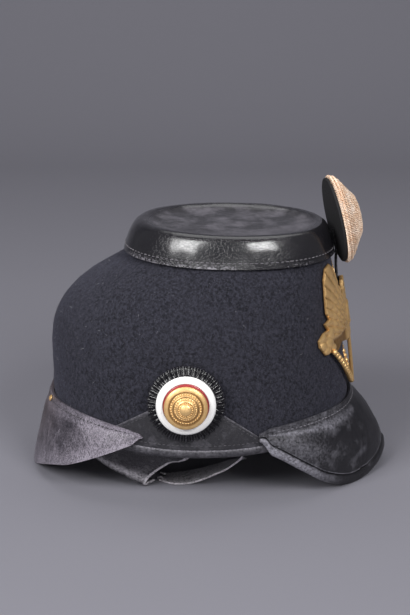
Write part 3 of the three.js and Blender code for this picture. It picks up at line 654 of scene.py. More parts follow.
def build_felt(settings):
    """The hollow felt body with its soft uneven surface, and the nap and lint on it."""
    start, level = RIM_SIDE + THIN_LEATHER + GAP, 60.0

    def rings(heights, out):
        drop = np.clip((level - heights[:, None]) / (level - start), 0, 1)
        z = heights[:, None] + (rim_height(AROUND) - RIM_SIDE) * drop
        return on_body(AROUND[None, :], z, out)

    def crown(z):
        middle = np.array([15.0, 0.0, z])
        return rings(np.array([z]), 0) * 0.65 + middle * 0.35

    heights = np.linspace(154.4, start, 110)
    plain = rings(heights, 0)
    soft = ripple(plain, 3.2, 0.22) + ripple(plain, 11, 0.25, 4.0) + ripple(plain, 46, 0.5, 9.0)
    outside = rings(heights, soft - 0.6 * smoothstep(60, 70, plain[..., 2]) - 0.25)
    inner = rings(np.linspace(start, 163, 40), -FELT)
    grid = np.concatenate([crown(167.4), rings(np.array([166.5]), 0), outside, inner, crown(164.6)])
    shell = loop_skin("felt_shell", grid)
    finish_piece(shell, "felt", felt_finish(settings), "felt_body")

    nap_source = bpy.data.meshes.new("nap_source")
    rows = np.flatnonzero(plain[:, 0, 2] < 152)
    near = outside[rows]
    nap_source.from_pydata((near.reshape(-1, 3) + SHIFT) * MM, [],
                           [face[::-1] for face in skin_faces(len(rows), len(AROUND), False, True)])
    source = bpy.data.objects.new("nap_source", nap_source)
    bpy.context.scene.collection.objects.link(source)
    maker = fuzz_maker()
    nap = maker.run("felt_nap", source, density=settings.nap_density, length=0.0013, thickness=0.00006,
                    lean=1.6, seed=5, material=thread_finish("Dark wool", tint(76, 75, 86)))
    finish_piece(nap, "felt", None)
    lint = maker.run("felt_lint", source, density=2600.0, length=0.0022, thickness=0.00009, lean=4.0, seed=11,
                     material=thread_finish("Pale lint", tint(170, 168, 176)))
    finish_piece(lint, "felt", None)
    bpy.data.objects.remove(source)


# ---- Leather top -----------------------------------------------------------------------------------------

def top_surface(step, angle):
    """Points of the leather top's outer side, from its hem at step 0 to its middle at step 10."""
    inset, rise, sunk = (smooth(TOP_WALL, "step", name)(step) for name in ("inset", "rise", "sunk"))
    to_crest, to_middle = np.minimum(inset, 1), np.maximum(inset - 1, 0)

    def mix(name, share):
        return TOP_HEM[name] + (TOP_CREST[name] - TOP_HEM[name]) * share

    front = (1 + np.cos(angle)) / 2
    z = mix("rear_z", rise) * (1 - front) + mix("front_z", rise) * front
    points = oval(mix("rear", to_crest), mix("front", to_crest), mix("half", to_crest), angle, z)
    middle = np.array([(TOP_CREST["rear"] + TOP_CREST["front"]) / 2, 0,
                       (TOP_CREST["rear_z"] + TOP_CREST["front_z"]) / 2])
    points = points + (middle - points) * to_middle[..., None]
    points[..., 2] -= sunk
    return points


def build_top(settings):
    """The lacquered leather top with its worn hem and the stitches above it."""
    steps = np.concatenate([np.linspace(0, 5.2, 56), np.linspace(5.3, 8.5, 30), np.linspace(8.7, 9.97, 10)])
    step, angle = np.meshgrid(steps, AROUND, indexing="ij")
    outside = top_surface(step, angle)
    outward = grid_normals(outside, True)
    outward *= np.sign((outward * (outside - outside.mean((0, 1)))).sum())
    wave = ripple(outside, 24, 0.5, 2.0) + ripple(outside, 7, 0.16, 5.0)
    outside = outside + outward * wave[..., None] * np.where(step > 6, 1.3, 0.55)[..., None]
    inside = (outside - outward * LEATHER)[::-1]
    inside[-1] = outside[0] - unit((outside[0] - outside[0].mean(0)) * [1, 1, 0]) * LEATHER
    wear = (1 - smoothstep(0.05, 0.9, step)) * (0.55 + 0.45 * np.sin(angle * 5 + 1.3) * np.sin(angle * 2.3))
    wear = np.maximum(wear, 0.4 * np.exp(-((step - 5.1) / 0.5) ** 2))
    flat = smoothstep(5.6, 7.5, step)
    grid = np.concatenate([inside, outside])
    layers = {"wear": np.concatenate([wear[::-1], wear]), "flat": np.concatenate([flat[::-1], flat])}
    cap = loop_skin("top_leather", grid, attributes=layers, sharp_angle=55)
    finish_piece(cap, "lacquered_top", lacquered_finish(settings), "leather_top")
    line = top_surface(np.full_like(AROUND, 0.62), AROUND)
    line = line + unit((line - line.mean(0)) * [1, 1, 0]) * 0.25
    stitches = along_lines(stitch_maker(), "top_stitches", [line], True, spacing=0.0036, length=0.0027,
                           thickness=0.0007, seed=2,
                           material=thread_finish("Grey thread", tint(118, 114, 120)))
    finish_piece(stitches, "lacquered_top", None)


# ---- Rim binding and gussets -----------------------------------------------------------------------------

def build_rim():
    """The leather folded over the lower edge of the felt, and the pointed gussets behind the cockades."""
    outside, inside, rounding = GAP + THIN_LEATHER, -FELT - GAP, 0.5
    turn = np.linspace(0, np.pi, 9)
    middle, reach = (outside + inside - THIN_LEATHER) / 2, (outside - inside + THIN_LEATHER) / 2
    under = [(middle + reach * math.cos(a), 2.4 - 2.4 * math.sin(a) ** 0.7) for a in turn]
    section = [(GAP, BINDING_HEIGHT), (outside - rounding, BINDING_HEIGHT),
               (outside, BINDING_HEIGHT - rounding), (outside + 0.2, 4.4), *under,
               (inside - THIN_LEATHER, BINDING_HEIGHT), (inside, BINDING_HEIGHT),
               (inside, THIN_LEATHER), (GAP, THIN_LEATHER)]
    grid = np.array([on_body(AROUND, rim_height(AROUND) + up, out) for out, up in section])
    lean = ripple(grid, 16, 0.35)[..., None]
    grid[1:-4] += unit(grid[1:-4] * [1, 1, 0]) * lean[1:-4]
    edge = np.array([{1: 1.2, 2: 0.5, 3: 0.3}.get(n, 0.25) for n in range(len(section))])
    wear = np.broadcast_to(edge[:, None], grid.shape[:2])
    black = leather_finish("Black leather", tint(32, 31, 36), tint(140, 137, 146), 0.34)
    rim = loop_skin("rim_leather", grid, True, {"wear": wear}, 60)
    finish_piece(rim, "black_leather", black, "rim_binding")

    share = np.linspace(0, 1, 12)
    for label, side in (("left", 1), ("right", -1)):
        degrees = np.linspace(GUSSET["angle"][0], GUSSET["angle"][-1], 71)
        angle = np.radians(degrees)
        low = rim_height(angle) + BINDING_HEIGHT + GAP
        high = np.interp(degrees, GUSSET["angle"], GUSSET["z"])
        z = low[:, None] + (high - low)[:, None] * share
        angles = np.broadcast_to(angle[:, None] * side, z.shape)
        bulge = 0.12 * np.sin(np.pi * share)[None, :]
        upper = on_body(angles, z, GAP + THIN_LEATHER + bulge)
        lower = on_body(angles, z, GAP)
        wear = np.broadcast_to(0.45 * smoothstep(0.9, 1.0, share) + 0.12, z.shape)
        gusset = sheet(f"gusset_leather_{label}", upper, lower, {"wear": wear})
        finish_piece(gusset, "black_leather", black, f"gusset_{label}")
    rows = []
    for side in (1, -1):
        angle = np.radians(np.linspace(69, 118, 60))
        rows.append(on_body(angle * side, rim_height(angle) + BINDING_HEIGHT + 3.2,
                            GAP + THIN_LEATHER + 0.15))
        for ends in ((70, 91), (96, 119)):
            degrees = np.linspace(*ends, 40)
            z = np.interp(degrees, GUSSET["angle"], GUSSET["z"]) - 2.6
            keep = z > rim_height(np.radians(degrees)) + BINDING_HEIGHT + 3.5
            rows.append(on_body(np.radians(degrees[keep]) * side, z[keep], GAP + THIN_LEATHER + 0.15))
    stitches = along_lines(stitch_maker(), "gusset_stitches", rows, spacing=0.0031, length=0.0022,
                           thickness=0.00055, seed=4,
                           material=thread_finish("Worn thread", tint(78, 76, 82)))
    finish_piece(stitches, "black_leather", None)


# ---- Peak and neck guard ---------------------------------------------------------------------------------

OVER_BINDING = GAP + THIN_LEATHER + 2 * GAP + LEATHER
# Places along a visor from its right end to its left, and rows of points across its sewn strip.
VISOR_PLACES, STRIP_ROWS = np.linspace(-1, 1, 221), 6
# The creases across the peak: place along it, slant and depth in millimetres.
PEAK_CREASES = ((-0.36, 0.10, 0.5), (-0.31, -0.07, 0.6), (-0.27, -0.16, 0.35), (-0.41, 0.16, 0.3))
VISOR_STITCH = {"spacing": 0.0034, "length": 0.0026, "thickness": 0.0007}


def visor_lines(rows, rearward, belly, t):
    """The sewn strip's top, the crease, the middle control point and the outer edge, for t from -1 to 1."""
    side, place = np.where(t < 0, -1.0, 1.0), np.abs(t)
    wall, x, y, z, top, crease = (smooth(rows, "t", name)(place)
                                  for name in ("wall", "x", "y", "z", "top", "crease"))
    angle = np.radians(wall) * side
    if rearward:
        angle = np.pi - angle
    over_gusset = smoothstep(46, 56, wall)
    out = (GAP + LEATHER) * (1 - over_gusset) + OVER_BINDING * over_gusset
    start, end = on_body(angle, crease, OVER_BINDING), np.stack([x, y * side, z], axis=-1)
    tip = (smoothstep(0.93, 1.0, place) * 0.5)[..., None]
    end = end + (start - end) * tip
    chord = end - start
    sideways = np.stack([-np.sin(angle), np.cos(angle), np.zeros_like(angle)], axis=-1)
    bulge = unit(np.cross(sideways, chord)) * np.linalg.norm(chord, axis=-1, keepdims=True) * belly
    bulge *= np.where(bulge[..., 2:] < 0, -1, 1)
    upper = on_body(angle, top, out)
    return upper + (start - upper) * tip, start, (start + end) / 2 + bulge, end


def across_visor(lines, share):
    """Points across a visor, by their share of the way from the crease to the outer edge."""
    _, start, control, end = (line[:, None] for line in lines)
    s = share[..., None]
    return (1 - s) ** 2 * start + 2 * s * (1 - s) * control + s ** 2 * end


def visor_width(lines):
    curve = across_visor(lines, np.broadcast_to(np.linspace(0, 1, 24), (len(lines[0]), 24)))
    return np.linalg.norm(np.diff(curve, axis=1), axis=-1).sum(1)


def visor_grid(lines, margin, rows=34):
    """A visor's upper side: its sewn strip and what lies outside the crease, by rows across it."""
    reach = np.maximum(0.06, 1 - margin / visor_width(lines)) if margin else np.ones(len(lines[0]))
    shares = np.linspace(0, 1, rows) ** 0.9
    outer = across_visor(lines, reach[:, None] * shares)
    up = np.linspace(0, 1, STRIP_ROWS, endpoint=False)[None, :, None]
    strip = lines[0][:, None] * (1 - up) + lines[1][:, None] * up
    return np.concatenate([strip, outer], axis=1)


def visor_shares(shape):
    """The place along a visor of each of its points, and the share of the way from its crease outwards."""
    across = np.clip((np.arange(shape[1]) - STRIP_ROWS) / (shape[1] - STRIP_ROWS - 1), 0, 1)
    return np.broadcast_to(VISOR_PLACES[:, None], shape), across[None, :]


def sew_visor(name, slot, lines, height, ends, seed, thread):
    """A row of stitches along a visor's sewn strip, at a share of the strip's height."""
    row = (lines[1] + (lines[0] - lines[1]) * height)[ends:-ends]
    row = row + unit(row * [1, 1, 0]) * 0.2
    stitches = along_lines(stitch_maker(), name, [row], **VISOR_STITCH, seed=seed, material=thread)
    finish_piece(stitches, slot, None)


def build_peak(settings):
    """The front peak with its creases, its rolled border and its row of stitches."""
    lines = visor_lines(PEAK, False, 0.17, VISOR_PLACES)
    upper = visor_grid(lines, PEAK_BORDER + EDGE_INSET)
    normals = grid_normals(upper)
    normals *= np.sign(normals[..., 2].mean())
    place, across = visor_shares(upper.shape[:2])
    dent = np.zeros(upper.shape[:2])
    for centre, slant, depth in PEAK_CREASES:
        off = place - centre - slant * (across - 0.75)
        dent -= depth * np.exp(-(off / 0.011) ** 2) * smoothstep(0.35, 0.8, across)
    soft = ripple(upper, 18, 0.7) + ripple(upper, 6, 0.2, 3.0)
    upper = upper + normals * ((soft + dent) * smoothstep(0, 0.2, across))[..., None]
    lower = upper - normals * LEATHER
    sides = np.abs(place)
    # The wear layer here is mostly painted highlight: sheen patches toward the tips, a highlight band just
    # outside the crease, a weaker sheen across the middle and a pale highlight line by the border, all over a
    # slight even wear.
    wear = 0.03 + 0.22 * smoothstep(0.5, 0.8, sides) * smoothstep(0.0, 0.3, across)
    wear = wear + 0.55 * smoothstep(0.12, 0.5, sides) * np.exp(-((across - 0.07) / 0.08) ** 2)
    wear = wear + 0.12 * smoothstep(0.2, 0.5, sides) * np.exp(-((across - 0.6) / 0.3) ** 2)
    wear = np.maximum(wear, 0.6 * smoothstep(0.96, 1, across))
    leather = leather_finish("Peak leather", settings.leather_colour[:], tint(158, 156, 166), 0.26)
    peak = sheet("peak_leather", upper, lower, {"wear": wear})
    finish_piece(peak, "peak_leather", leather, "front_peak")

    width = np.maximum(np.minimum(PEAK_BORDER, visor_width(lines) * 0.94 - EDGE_INSET) - 2 * GAP, 1.2)
    spot = 1 - (width / 2 + EDGE_INSET) / visor_width(lines)
    middle = across_visor(lines, spot[:, None])[:, 0]
    outward = unit(across_visor(lines, (spot + 0.02)[:, None])[:, 0]
                   - across_visor(lines, (spot - 0.02)[:, None])[:, 0])
    along = unit(np.gradient(lines[3], axis=0))
    up = unit(np.cross(outward, along))
    up *= np.where((up * normals[:, -1]).sum(-1, keepdims=True) < 0, -1, 1)
    turn = np.linspace(0, 2 * np.pi, 24, endpoint=False)

    def rounded(value):
        return np.sign(value) * np.abs(value) ** 0.8

    reach = (width[:, None] / 2 * rounded(np.cos(turn)))[..., None]
    ring = (middle - up * LEATHER / 2)[:, None] + outward[:, None] * reach
    tall = 1.9 * np.minimum(1, width / 4)[:, None]
    ring = ring + up[:, None] * (tall * rounded(np.sin(turn)))[..., None]
    ring = ring + unit(ring - ring.mean(1, keepdims=True)) * ripple(ring, 14, 0.35, 6.0)[..., None]
    ring[..., 2] = np.maximum(ring[..., 2], 0)
    # Painted highlight: the side of the rolled border that faces up and outwards is painted pale towards the
    # peak's ends, over a slight even wear.
    lit_side = smoothstep(-0.2, 0.7, np.cos(turn - math.radians(60)))[None, :]
    border_wear_and_highlight = 0.06 + 0.8 * smoothstep(0.4, 0.85, np.abs(VISOR_PLACES))[:, None] * lit_side
    border = loop_skin("peak_rolled_border", ring, attributes={"wear": border_wear_and_highlight}, sharp_angle=60)
    finish_piece(border, "peak_leather", leather, "peak_border")

    sew_visor("peak_stitches", "peak_leather", lines, 0.28, 12, 6,
              thread_finish("Peak thread", tint(126, 123, 131)))


def build_guard():
    """The scuffed neck guard with the stitches along its strip."""
    lines = visor_lines(GUARD, True, 0.05, VISOR_PLACES)
    upper = visor_grid(lines, 0)
    normals = grid_normals(upper)
    normals *= np.sign((normals * (upper - [0, 0, upper[..., 2].mean()]))[..., :2].sum())
    place, across = visor_shares(upper.shape[:2])
    soft = ripple(upper, 26, 1.3, 1.0) + ripple(upper, 9, 0.35, 3.0)
    upper = upper + normals * (soft * smoothstep(0, 0.25, across))[..., None]
    lower = upper - normals * LEATHER
    upper[..., 2] = np.maximum(upper[..., 2], 0.4)
    lower[..., 2] = np.maximum(lower[..., 2], 0)
    wear = 0.2 + 0.5 * smoothstep(0.55, 1.0, across) + 0.25 * np.exp(-((across - 0.02) / 0.06) ** 2)
    wear = np.broadcast_to(wear, place.shape) + 0.3 * smoothstep(0.45, 0.75, np.abs(place))
    brown = smoothstep(0.5, 0.05, np.abs(place)) * smoothstep(0.9, 0.1, across)
    guard = sheet("guard_leather", upper, lower, {"wear": wear, "brown": brown})
    finish_piece(guard, "guard_leather", guard_finish(), "neck_guard")
    sew_visor("guard_stitches", "guard_leather", lines, 0.3, 8, 8,
              thread_finish("Guard thread", tint(58, 55, 60)))


# ---- Cockades --------------------------------------------------------------------------------------------

WHITE_RING = [(19.3, 4.4), (19.7, 4.8), (19.5, 5.3), (18.6, 6.0), (17.4, 6.55), (16.2, 6.8), (15.4, 6.75),
              (15.15, 6.4), (15.4, 5.6), (16.2, 4.7)]
RED_RING = [(14.9, 4.4), (15.05, 6.2), (14.4, 6.6), (13.0, 6.9), (12.2, 6.7), (12, 6)]
BOSS = [(0, 0.2), (5, 0.2), (5, 9.0), (11.4, 9.8), (13.9, 10.0), (14.3, 10.3), (14.4, 10.8), (14.1, 11.2),
        (13.4, 11.6), (12.2, 12.0), (11.2, 12.25), (10.9, 12.0), (10.7, 11.9), (10.0, 12.3), (9.4, 12.9),
        (8.8, 13.75), (8.4, 14.0), (8.1, 13.7), (7.4, 14.0), (6.8, 14.5), (6.3, 15.1), (5.9, 15.45),
        (5.4, 15.6), (5.0, 15.3), (4.5, 15.5), (4.1, 16.0), (3.6, 16.6), (2.8, 17.0), (1.6, 17.3),
        (0.8, 17.4), (0, 17.4)]
BOSS_HOLLOWS = (10.9, 10.7, 8.1, 5.0)
# The boss's rows of beads: radius and height of the row, then spacing and radius of its beads in metres.
BOSS_BEADS = ((9.7, 12.4, 0.0017, 0.00085), (6.9, 14.2, 0.0015, 0.0007), (4.4, 15.5, 0.0014, 0.0007))
# The pleated ring's section: radius, height, how far a pleat sinks, and how much it draws in.
PLEATED_RING = ((18.2, 1.4, 0, 0), (25.2, 0.15, 0, 0), (26.0, 0.25, 0, 1), (26.3, 1.0, 0.5, 1),
                (25.9, 2.2, 1.7, 1), (25.0, 3.1, 2.5, 0.5), (23.6, 3.7, 2.8, 0), (22.0, 4.0, 2.6, 0),
                (20.4, 4.15, 2.0, 0), (19.2, 4.2, 1.2, 0), (18.2, 4.2, 0.3, 0))


def turned_ring(name, section, segments, hollows=()):
    """A section of radius and height turned round the cockade's axis."""
    turn = np.linspace(0, 2 * np.pi, segments, endpoint=False)
    rows = [(r, h) for r, h in section if r > 0]
    grid = np.array([np.stack([r * np.cos(turn), r * np.sin(turn), np.full_like(turn, h)], -1)
                     for r, h in rows])
    depth = {"hollow": np.array([1.0 if any(abs(r - radius) < 0.35 and h > 6 for radius in hollows) else 0.0
                                 for r, h in rows])[:, None] * np.ones(segments)}
    return loop_skin(name, grid - SHIFT, section[0][0] > 0, depth, 32)


def pleated_ring(name, teeth):
    """The black ring: a fluted band whose pleats widen into rounded ends."""
    steps = teeth * 10
    turn = np.linspace(0, 2 * np.pi, steps, endpoint=False)
    pleat = 0.5 + 0.5 * np.cos(teeth * turn)
    rows = []
    uneven = 0.3 * np.sin(7 * turn + 0.6) + 0.25 * np.sin(11 * turn)
    for r, h, lift, reach in PLEATED_RING:
        radius = r - reach * 1.6 * (1 - pleat) ** 1.5 + 0.4 * uneven * reach
        height = h - lift * (1 - pleat) ** 0.9 + 0.35 * lift * uneven
        rows.append(np.stack([radius * np.cos(turn), radius * np.sin(turn), np.maximum(height, 0.1)], -1))
    return loop_skin(name, np.array(rows) - SHIFT, True, None, 70)


def build_cockades(settings):
    """The cockades, each a pleated black ring, a white and a red ring and a stepped gilt boss."""
    black = enamel_finish("Black lacquer", tint(20, 19, 23), 0.16, 1.0)
    white = enamel_finish("White paint", settings.white_colour[:], 0.35)
    red = enamel_finish("Red paint", settings.red_colour[:], 0.4)
    gilt = gilt_finish(settings)
    beads = bead_maker()
    front, rear = BODY_FRONT(COCKADE_Z), BODY_REAR(COCKADE_Z)
    middle, reach = (front + rear) / 2, (front - rear) / 2
    angle = math.acos((COCKADE_X - middle) / reach)
    turn = np.linspace(0, 2 * np.pi, 96, endpoint=False)
    for label, side in (("left", 1), ("right", -1)):
        seat = (on_body(angle * side, COCKADE_Z, GAP + THIN_LEATHER + GAP) + SHIFT) * MM
        lean = Matrix.Rotation(-side * (math.pi / 2 - math.radians(COCKADE_LEAN)), 4, "X")
        placed = Matrix.Translation(Vector(seat)) @ lean
        boss = turned_ring(f"boss_gilt_{label}", BOSS, 96, BOSS_HOLLOWS)
        rows = []
        for number, (r, h, spacing, radius) in enumerate(BOSS_BEADS):
            ring = np.stack([r * np.cos(turn), r * np.sin(turn), np.full_like(turn, h)], -1) - SHIFT
            rows.append(along_lines(beads, f"boss_beads_{label}_{number}", [ring], True, spacing=spacing,
                                    radius=radius, material=gilt))
        made = (
            (pleated_ring(f"pleated_black_{label}", settings.pleats), "black_enamel", black, "black"),
            (turned_ring(f"ring_white_{label}", WHITE_RING, 128), "white_enamel", white, "white"),
            (turned_ring(f"ring_red_{label}", RED_RING, 96), "red_enamel", red, "red"),
        )
        boss.data.materials.append(gilt)
        boss = join(f"boss_gilt_{label}", [boss, *rows])
        for piece, slot, finish, node in (*made, (boss, "gilt", gilt, "boss")):
            piece.data.transform(placed)
            finish_piece(piece, slot, finish, f"cockade_{node}_{label}")


# ---- Front plate -----------------------------------------------------------------------------------------

PLATE_STAND_OFF, PLATE_THICKNESS, PLATE_RIDGE, PLATE_RIDGE_WIDTH = 0.6, 1.2, 2.4, 10.0
# The middle lines of the crossed rods and of the upright stem between them, by y and z.
ROD = [(39.5, 92.0), (26.0, 76.6), (12.5, 63.8), (3.0, 58.6)]
STEM = [(0.0, 92.0), (0.0, 57.0)]
SHOULDER_Y, SHIELD_Z, SHIELD_RADIUS = 13.0, 108.0, 8.2
# The claws' knuckles by y, z and radius.
CLAWS = ((44.2, 109.2, 3.0), (48.2, 104.6, 3.2), (49.6, 98.8, 3.4), (46.6, 95.0, 3.2), (43.2, 99.4, 4.2),
         (40.2, 95.4, 3.0), (40.4, 105.2, 3.6))


def near_line(y, z, points):
    """The distance in millimetres from each point to a broken line."""
    best = np.full_like(y, 1e9)
    for (y0, z0), (y1, z1) in zip(points, points[1:]):
        length = math.hypot(y1 - y0, z1 - z0)
        share = np.clip(((y - y0) * (y1 - y0) + (z - z0) * (z1 - z0)) / length ** 2, 0, 1)
        distance = np.hypot(y - y0 - share * (y1 - y0), z - z0 - share * (z1 - z0))
        best = np.minimum(best, distance)
    return best


def plate_relief(y, z):
    """Height of the plate's relief in millimetres: feathers, a plain round shield, claws and rods."""
    y = np.abs(y)
    height = np.zeros_like(y)
    spread = np.degrees(np.arctan2(z - 96.0, y - 4.0))
    far = np.hypot(y - SHOULDER_Y, z - SHIELD_Z)
    wing = smoothstep(9, 13, y) * smoothstep(98, 103, z)
    feathers = np.abs(np.cos(np.radians(spread * 22 + 20 * np.sin(far * 0.2))))
    rows = np.abs(np.sin(far * 0.5 + 0.7 * feathers))
    quills = 1.6 * feathers ** 0.6 + 1.0 * rows * smoothstep(34, 16, far)
    height += wing * (quills + 0.7 * smoothstep(34, 10, far))
    body = smoothstep(13, 9, y) * smoothstep(88, 93, z)
    scale = np.cos(y * 1.5) * np.cos((z + 1.4 * np.abs(np.cos(y * 0.75))) * 1.55)
    height += body * (1.9 * np.sqrt(np.clip(1 - (y / 13.5) ** 2, 0, 1)) + 0.35 * scale)
    shield = np.hypot(y, z - SHIELD_Z)
    raised = 2.6 + 0.5 * smoothstep(SHIELD_RADIUS, 6.6, shield) - 0.25 * smoothstep(6.6, 5.8, shield)
    height = np.where(shield < SHIELD_RADIUS, raised, height)
    for claw_y, claw_z, size in CLAWS:
        round_top = np.clip(1 - (np.hypot(y - claw_y, z - claw_z) / size) ** 2, 0, 1)
        height = np.maximum(height, 2.3 * np.sqrt(round_top))
    rod = near_line(y, z, ROD)
    height = np.maximum(height, 0.8 * np.sqrt(np.clip(1 - (rod / 2.6) ** 2, 0, 1)))
    stem = near_line(y, z, STEM)
    height = np.maximum(height, 1.6 * np.sqrt(np.clip(1 - (stem / 2.7) ** 2, 0, 1)))
    return height


def build_plate(settings):
    """The gilt front plate: a plain spread bird over crossed rods, in low relief."""
    outline = bmesh.new()
    half = list(zip(PLATE_HALF["y"], PLATE_HALF["z"]))
    mirrored = [(-y, z) for y, z in half[1:-1]]
    contour = half + mirrored[::-1]
    loops = [contour] + [[(side * y, z) for y, z in zip(PLATE_OPENING["y"], PLATE_OPENING["z"])]
                         for side in (1, -1)]
    edges = []
    for loop in loops:
        corners = [outline.verts.new((y, z, 0)) for y, z in loop]
        edges += [outline.edges.new(pair) for pair in zip(corners, corners[1:] + corners[:1])]
    bmesh.ops.triangle_fill(outline, edges=edges, use_beauty=True)
    # Cuts the flat outline into a fine grid, so that it can bend and take the relief.
    for axis, low, high in ((0, -52, 52), (1, 57, 150)):
        normal = (1, 0, 0) if axis == 0 else (0, 1, 0)
        for cut in np.arange(low + 0.3, high, 0.6):
            point = (cut, 0, 0) if axis == 0 else (0, cut, 0)
            bmesh.ops.bisect_plane(outline, geom=outline.verts[:] + outline.edges[:] + outline.faces[:],
                                   plane_co=point, plane_no=normal)
    outline.verts.index_update()
    flat = np.array([v.co[:2] for v in outline.verts])
    faces = [[v.index for v in f.verts] for f in outline.faces]
    rim = [(e.verts[0].index, e.verts[1].index) for e in outline.edges if len(e.link_faces) == 1]
    outline.free()
    y, z = flat.T
    angle = np.arcsin(np.clip(y / BODY_HALF(z), -1, 1))
    for _ in range(6):  # closes in on the angle at which the felt has each point's y
        angle += np.clip((y - on_body(angle, z)[:, 1]) / 90, -0.05, 0.05)
    ridge = PLATE_RIDGE * np.exp(-(y / PLATE_RIDGE_WIDTH) ** 2)
    relief = plate_relief(y, z)
    back = on_body(angle, z, PLATE_STAND_OFF + ridge)
    outward = unit(on_body(angle, z, 1.0) - on_body(angle, z, 0.0))
    front = back + outward * (PLATE_THICKNESS * 0.6 + relief)[:, None]
    count = len(flat)
    sides = [(a, b, b + count, a + count) for a, b in rim]
    both = faces + [[i + count for i in f[::-1]] for f in faces] + sides
    level = np.clip(1 - relief / 1.3, 0, 1) * 0.9
    plate = mesh_object("plate_gilt", np.concatenate([front, back]), both,
                        {"hollow": np.concatenate([level, np.ones(count)])}, 60)
    gilt = gilt_finish(settings)
    plate.data.materials.append(gilt)
    rods = []
    for side in (1, -1):
        rod_y, rod_z = spline(ROD, 12)[:, 0] * side, spline(ROD, 12)[:, 1]
        rods.append(on_body(np.arcsin(rod_y / BODY_HALF(rod_z)), rod_z,
                            PLATE_STAND_OFF + PLATE_THICKNESS + 1.3))
    beads = along_lines(bead_maker(), "plate_beads", rods, spacing=0.0037, radius=0.0021, material=gilt)
    plate = join("plate_gilt", [plate, beads])
    finish_piece(plate, "gilt", gilt, "front_plate")


# ---- Field badge -----------------------------------------------------------------------------------------

# The flat back by depth and share of the oval, and the border cords by depth, share and radius.
BADGE_BACK = ((0, 0.93), (0, 0.95), (0.3, 0.975), (1.2, 0.985), (2.0, 0.975))
BADGE_CORDS = ((3.4, 0.985, 1.25), (5.7, 0.955, 1.2), (7.7, 0.88, 1.15), (9.5, 0.795, 1.1))


def badge_matrix():
    """Turns the badge's own space, with x outwards from its back, into the frame."""
    twist = Matrix.Rotation(math.radians(BADGE_TWIST), 4, "Z")
    turn = twist @ Matrix.Rotation(-math.radians(BADGE_LEAN), 4, "Y")
    return Matrix.Translation(Vector(((BADGE_X + SHIFT[0]) * MM, 0, BADGE_Z * MM))) @ turn


def badge_oval(depth, share, turn):
    return np.stack(np.broadcast_arrays(depth, BADGE_WIDE * share * np.cos(turn),
                                        BADGE_HIGH * share * np.sin(turn)), -1)


def rope(name, path, radius, pitch, strands=2, sides=6):
    """Strands twisted round a closed path."""
    along = unit(np.roll(path, -1, 0) - np.roll(path, 1, 0))
    across = unit(np.cross(along, [1.0, 0, 0]))
    out = np.cross(across, along)
    gone = np.concatenate([[0], np.cumsum(np.linalg.norm(np.diff(path, axis=0), axis=1))])
    turns = round(gone[-1] / pitch)
    phase = 2 * np.pi * turns * np.arange(len(path)) / len(path)
    ring = np.linspace(0, 2 * np.pi, sides, endpoint=False)
    pieces = []
    for strand in range(strands):
        a = phase + 2 * np.pi * strand / strands
        centre = path + (across * np.cos(a)[:, None] + out * np.sin(a)[:, None]) * radius * 0.5
        tube = centre[:, None] + (across[:, None] * np.cos(ring)[None, :, None]
                                  + out[:, None] * np.sin(ring)[None, :, None]) * radius * 0.56
        pieces.append(loop_skin(f"{name}_{strand}", tube - SHIFT, True))
    return pieces


def build_badge(settings):
    """The oval field badge: a flat black back, twisted border cords and an embroidered dome."""
    placed = badge_matrix()
    turn = np.linspace(0, 2 * np.pi, 160, endpoint=False)
    back = np.array([badge_oval(depth, share, turn) for depth, share in BADGE_BACK])
    black = leather_finish("Black backing", tint(16, 15, 18), tint(40, 38, 42), 0.7, 0.2)
    backing = loop_skin("badge_backing", back - SHIFT)
    backing.data.transform(placed)
    finish_piece(backing, "badge_backing", black, "badge_back")

    thread = bullion_finish(settings)
    share_at = smooth(BADGE_DOME, "depth", "share")
    depths = np.concatenate([np.linspace(2.3, 17.2, 30), [17.7, 18.0]])
    dome = np.array([badge_oval(d, share_at(d) - 0.03, turn) for d in depths])
    core = loop_skin("badge_core", dome - SHIFT)
    core.data.materials.append(thread)
    cords = []
    for number, (depth, share, radius) in enumerate(BADGE_CORDS):
        path = badge_oval(depth, share, np.linspace(0, 2 * np.pi, 420, endpoint=False))
        cords += rope(f"badge_cord_{number}", path, radius, 3.4)
    rows = []
    for depth in np.arange(11.0, 17.8, 0.95):
        rows.append(badge_oval(depth, share_at(depth), np.linspace(0, 2 * np.pi, 120, endpoint=False))
                    - SHIFT)
    for share in (0.25, 0.19, 0.13, 0.07, 0.02):
        rows.append(badge_oval(18.1, share, np.linspace(0, 2 * np.pi, 60, endpoint=False)) - SHIFT)
    purl = along_lines(bead_maker(), "badge_purl", rows, True, spacing=0.00155, radius=0.00082,
                       material=thread)
    for cord in cords:
        cord.data.materials.append(thread)
    bullion = join("badge_embroidery", [core, *cords, purl])
    bullion.data.transform(placed)
    finish_piece(bullion, "bullion", thread, "badge_bullion")


# ---- Sweatband -------------------------------------------------------------------------------------------

